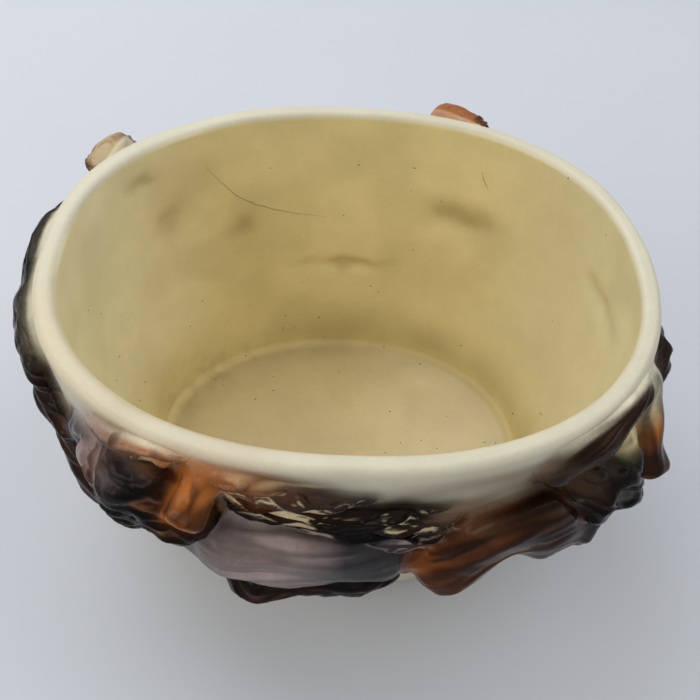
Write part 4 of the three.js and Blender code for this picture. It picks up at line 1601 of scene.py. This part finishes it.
@dataclass
class Marks:
    """What use has left on the inside: clinging grains of soil and two hair cracks."""

    grain_radius: float = 0.36
    grains: float = 6500.0  # to a square metre where freckles are thickest
    seed: int = 11
    crack_radius: float = 0.13
    crack_wander: float = 0.6
    cracks: tuple[tuple[str, tuple[tuple[float, float], ...]], ...] = (
        ("hair_crack", ((124, 114), (121, 105), (117, 95), (112, 88), (108, 84.5), (102, 80.5),
                        (94, 78))),
        ("short_crack", ((58.5, 114), (57.5, 110), (55.5, 106))),
    )

    def scatterer(self) -> Shaper:
        """Builds the tree that scatters grains over a surface.

        Returns:
            A tree whose geometry input is the surface.
        """
        shaper = Shaper("soil_grains", Density=self.grains, Radius=self.grain_radius * MM,
                        Seed=self.seed)
        add, size = shaper.add, shaper.size
        freckles = add("GeometryNodeInputNamedAttribute", {"Name": "freckles"}, data_type="FLOAT")
        spots = add("GeometryNodeDistributePointsOnFaces", {
            "Mesh": size["Geometry"], "Seed": size["Seed"],
            "Density": add(MATH, (freckles, size["Density"]), operation="MULTIPLY")})
        grain = add("GeometryNodeMeshIcoSphere", {"Radius": size["Radius"], "Subdivisions": 2})
        spread = add("FunctionNodeRandomValue", {
            0: (0.5, 0.5, 0.3), 1: (1.5, 1.1, 0.5), "Seed": size["Seed"]},
            data_type="FLOAT_VECTOR")
        laid = add("GeometryNodeInstanceOnPoints", {
            "Points": spots, "Instance": grain, "Rotation": spots.outputs["Rotation"],
            "Scale": spread})
        shaper.end(add("GeometryNodeSetShadeSmooth", (laid,)))
        return shaper

    def spinner(self) -> Shaper:
        """Builds the tree that turns a line of points into a thread with fine ends.

        Returns:
            A tree whose geometry input is the line as edges.
        """
        shaper = Shaper("thread", Radius=self.crack_radius * MM)
        add = shaper.add
        line = add("GeometryNodeMeshToCurve", {"Mesh": shaper.size["Geometry"]})
        share = add(MATH, (add("GeometryNodeSplineParameter"), math.pi), operation="MULTIPLY")
        swell = add(MATH, (add(MATH, (share,), operation="SINE"), 0.8), operation="MULTIPLY")
        swell = add(MATH, (swell, 0.2), operation="ADD")
        radius = add(MATH, (swell, shaper.size["Radius"]), operation="MULTIPLY")
        ring = add("GeometryNodeCurvePrimitiveCircle", {"Resolution": 6, "Radius": 1.0})
        shaper.end(add("GeometryNodeCurveToMesh", {
            "Curve": line, "Profile Curve": ring, "Scale": radius, "Fill Caps": True}))
        return shaper

    def build(self, shop: Workshop, body: Piece) -> None:
        """Makes the marks.

        Args:
            shop: What they need.
            body: The finished body.
        """
        grains = new_piece("soil_grains", body.data.copy())
        self.scatterer().run(grains, shop.finishes.soil)
        pieces, thread = [grains], self.spinner()
        share = np.linspace(0, 1, 90)
        for name, places in self.cracks:
            knots = np.linspace(0, 1, len(places))
            at, height = (np.interp(share, knots, column) for column in np.array(places, float).T)
            steps = np.stack([share * len(share), 0 * share, 0 * share], -1)
            wander = self.crack_wander * (Cloud.CRACK.at(steps) - 0.5)
            inner = OVAL.ring(np.radians(at), -OVAL.draw_in(height) + 1.0, height + wander)
            line = [body.closest_point_on_mesh(Vector(point * MM))[1] for point in inner]
            crack = plain_mesh(name, np.array(line) / MM)
            crack.data.edges.add(len(line) - 1)
            links = np.arange(len(line) - 1, dtype=np.int32)
            crack.data.edges.foreach_set("vertices", np.stack([links, links + 1], -1).ravel())
            thread.run(crack, shop.finishes.crack)
            pieces.append(crack)
        for piece in pieces:
            drop(piece.data, "freckles", "glaze", "pool")
            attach(piece, "root")
            LOG.info("marks: %s, %d faces", piece.name, len(piece.data.polygons))


# The room


@dataclass(frozen=True)
class Lamp:
    """A soft square lamp that looks at the pot: place and side in metres, power in watts."""

    name: str
    place: Place
    side: float
    power: float
    colour: str

    def hang(self) -> None:
        """Adds the lamp to the scene."""
        light = bpy.data.lights.new(self.name, "AREA")
        light.size, light.energy, light.color = self.side, self.power, linear(self.colour)[:3]
        away = Vector(self.place) - Vector((0, 0, 0.08))
        new_piece(self.name, light).matrix_world = (
            Matrix.Translation(self.place) @ away.to_track_quat("Z", "Y").to_matrix().to_4x4())


@dataclass
class Studio:
    """Table, lamps and camera, in millimetres and degrees."""

    reach: float = 308.45
    elevation: float = 50.39
    swing: float = -3.15
    roll: float = 3.99
    aside: float = 0.315
    above: float = 34.9
    lens: float = 43.71
    table: float = 3000.0
    patch: float = 1000 / 6
    lamps: tuple[Lamp, ...] = (
        Lamp("window_lamp", (-0.6, 0.75, 1.3), 1.2, 11.5, "#f3f7ff"),
        Lamp("far_window_lamp", (0.85, 0.35, 1.3), 1.2, 4, "#fbfbff"),
        Lamp("side_lamp", (-1.1, -0.5, 0.9), 0.8, 5, "#fffaf2"),
    )

    def floor(self) -> None:
        """Lays the pale table top."""
        corners = self.table * np.array([(-1, -1, 0), (1, -1, 0), (1, 1, 0), (-1, 1, 0)])
        piece = plain_mesh("table_top", corners, [[0, 1, 2, 3]])
        # White laminate, not quite even
        piece.data.materials.append(MattSurface(
            "white_table_top", "#c6c9ce", "#cbcdd1", 0.7, self.patch, 2.0).make())
        piece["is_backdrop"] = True

    def camera(self) -> None:
        """Sets up the camera at the photograph's viewing angle."""
        rise, swing, roll = map(math.radians, (self.elevation, self.swing, self.roll))
        back = Vector((math.sin(swing) * math.cos(rise), -math.cos(swing) * math.cos(rise),
                       math.sin(rise)))
        right = Vector((math.cos(swing), math.sin(swing), 0))
        up = back.cross(right)
        x = math.cos(roll) * right + math.sin(roll) * up
        y = -math.sin(roll) * right + math.cos(roll) * up
        eye = (back * self.reach - self.aside * x - self.above * y) * MM
        eye += Vector((0, 0, OVAL.rim * MM))
        data = bpy.data.cameras.new("camera")
        data.lens, data.sensor_width, data.clip_start = self.lens, 36, 0.01
        piece = new_piece("camera", data)
        piece.matrix_world = Matrix.Translation(eye) @ Matrix((x, y, back)).transposed().to_4x4()
        bpy.context.scene.camera = piece

    def sky(self) -> None:
        """Gives the room a bright ceiling and darker walls."""
        world = bpy.data.worlds.new("room")
        world.use_nodes = True
        add = partial(add_node, world.node_tree)
        place = add("ShaderNodeTexCoord").outputs["Generated"]
        up = add("ShaderNodeSeparateXYZ", (place,)).outputs[2]
        fill(world.node_tree, world.node_tree.nodes["Background"], {
            "Color": linear("#eef0f4"),
            "Strength": add("ShaderNodeMapRange", (up, 0.05, 0.75, 0.53, 0.7))})
        bpy.context.scene.world = world

    def build(self) -> None:
        """Sets up the whole room."""
        self.floor()
        for lamp in self.lamps:
            lamp.hang()
        self.sky()
        self.camera()
        bpy.context.scene.view_settings.view_transform = "Standard"


def main() -> None:
    """Builds the pot, its relief and the room."""
    logging.basicConfig(level=logging.INFO, format="%(name)s %(message)s")
    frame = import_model()
    box = [list(map(float, corner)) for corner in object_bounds()]
    finishes = Finishes()
    sides = (Relief("front", FRONT), Relief("left", LEFT), Relief("right", RIGHT),
             Relief("back", BACK))
    carving = Carving(tuple(sprig for side in sides for sprig in side.sprigs))
    carving.measure(frame["nodes"])
    shop = Workshop(finishes, carving, Painter(carving, PASSES), BarkTool(),
                    np.array(box[0]) / MM, np.array(box[1]) / MM)
    body = PotBody().build(shop)
    Marks().build(shop, body)
    for side in sides:
        side.build(shop)
    Studio().build()


if __name__ == "__main__":
    main()
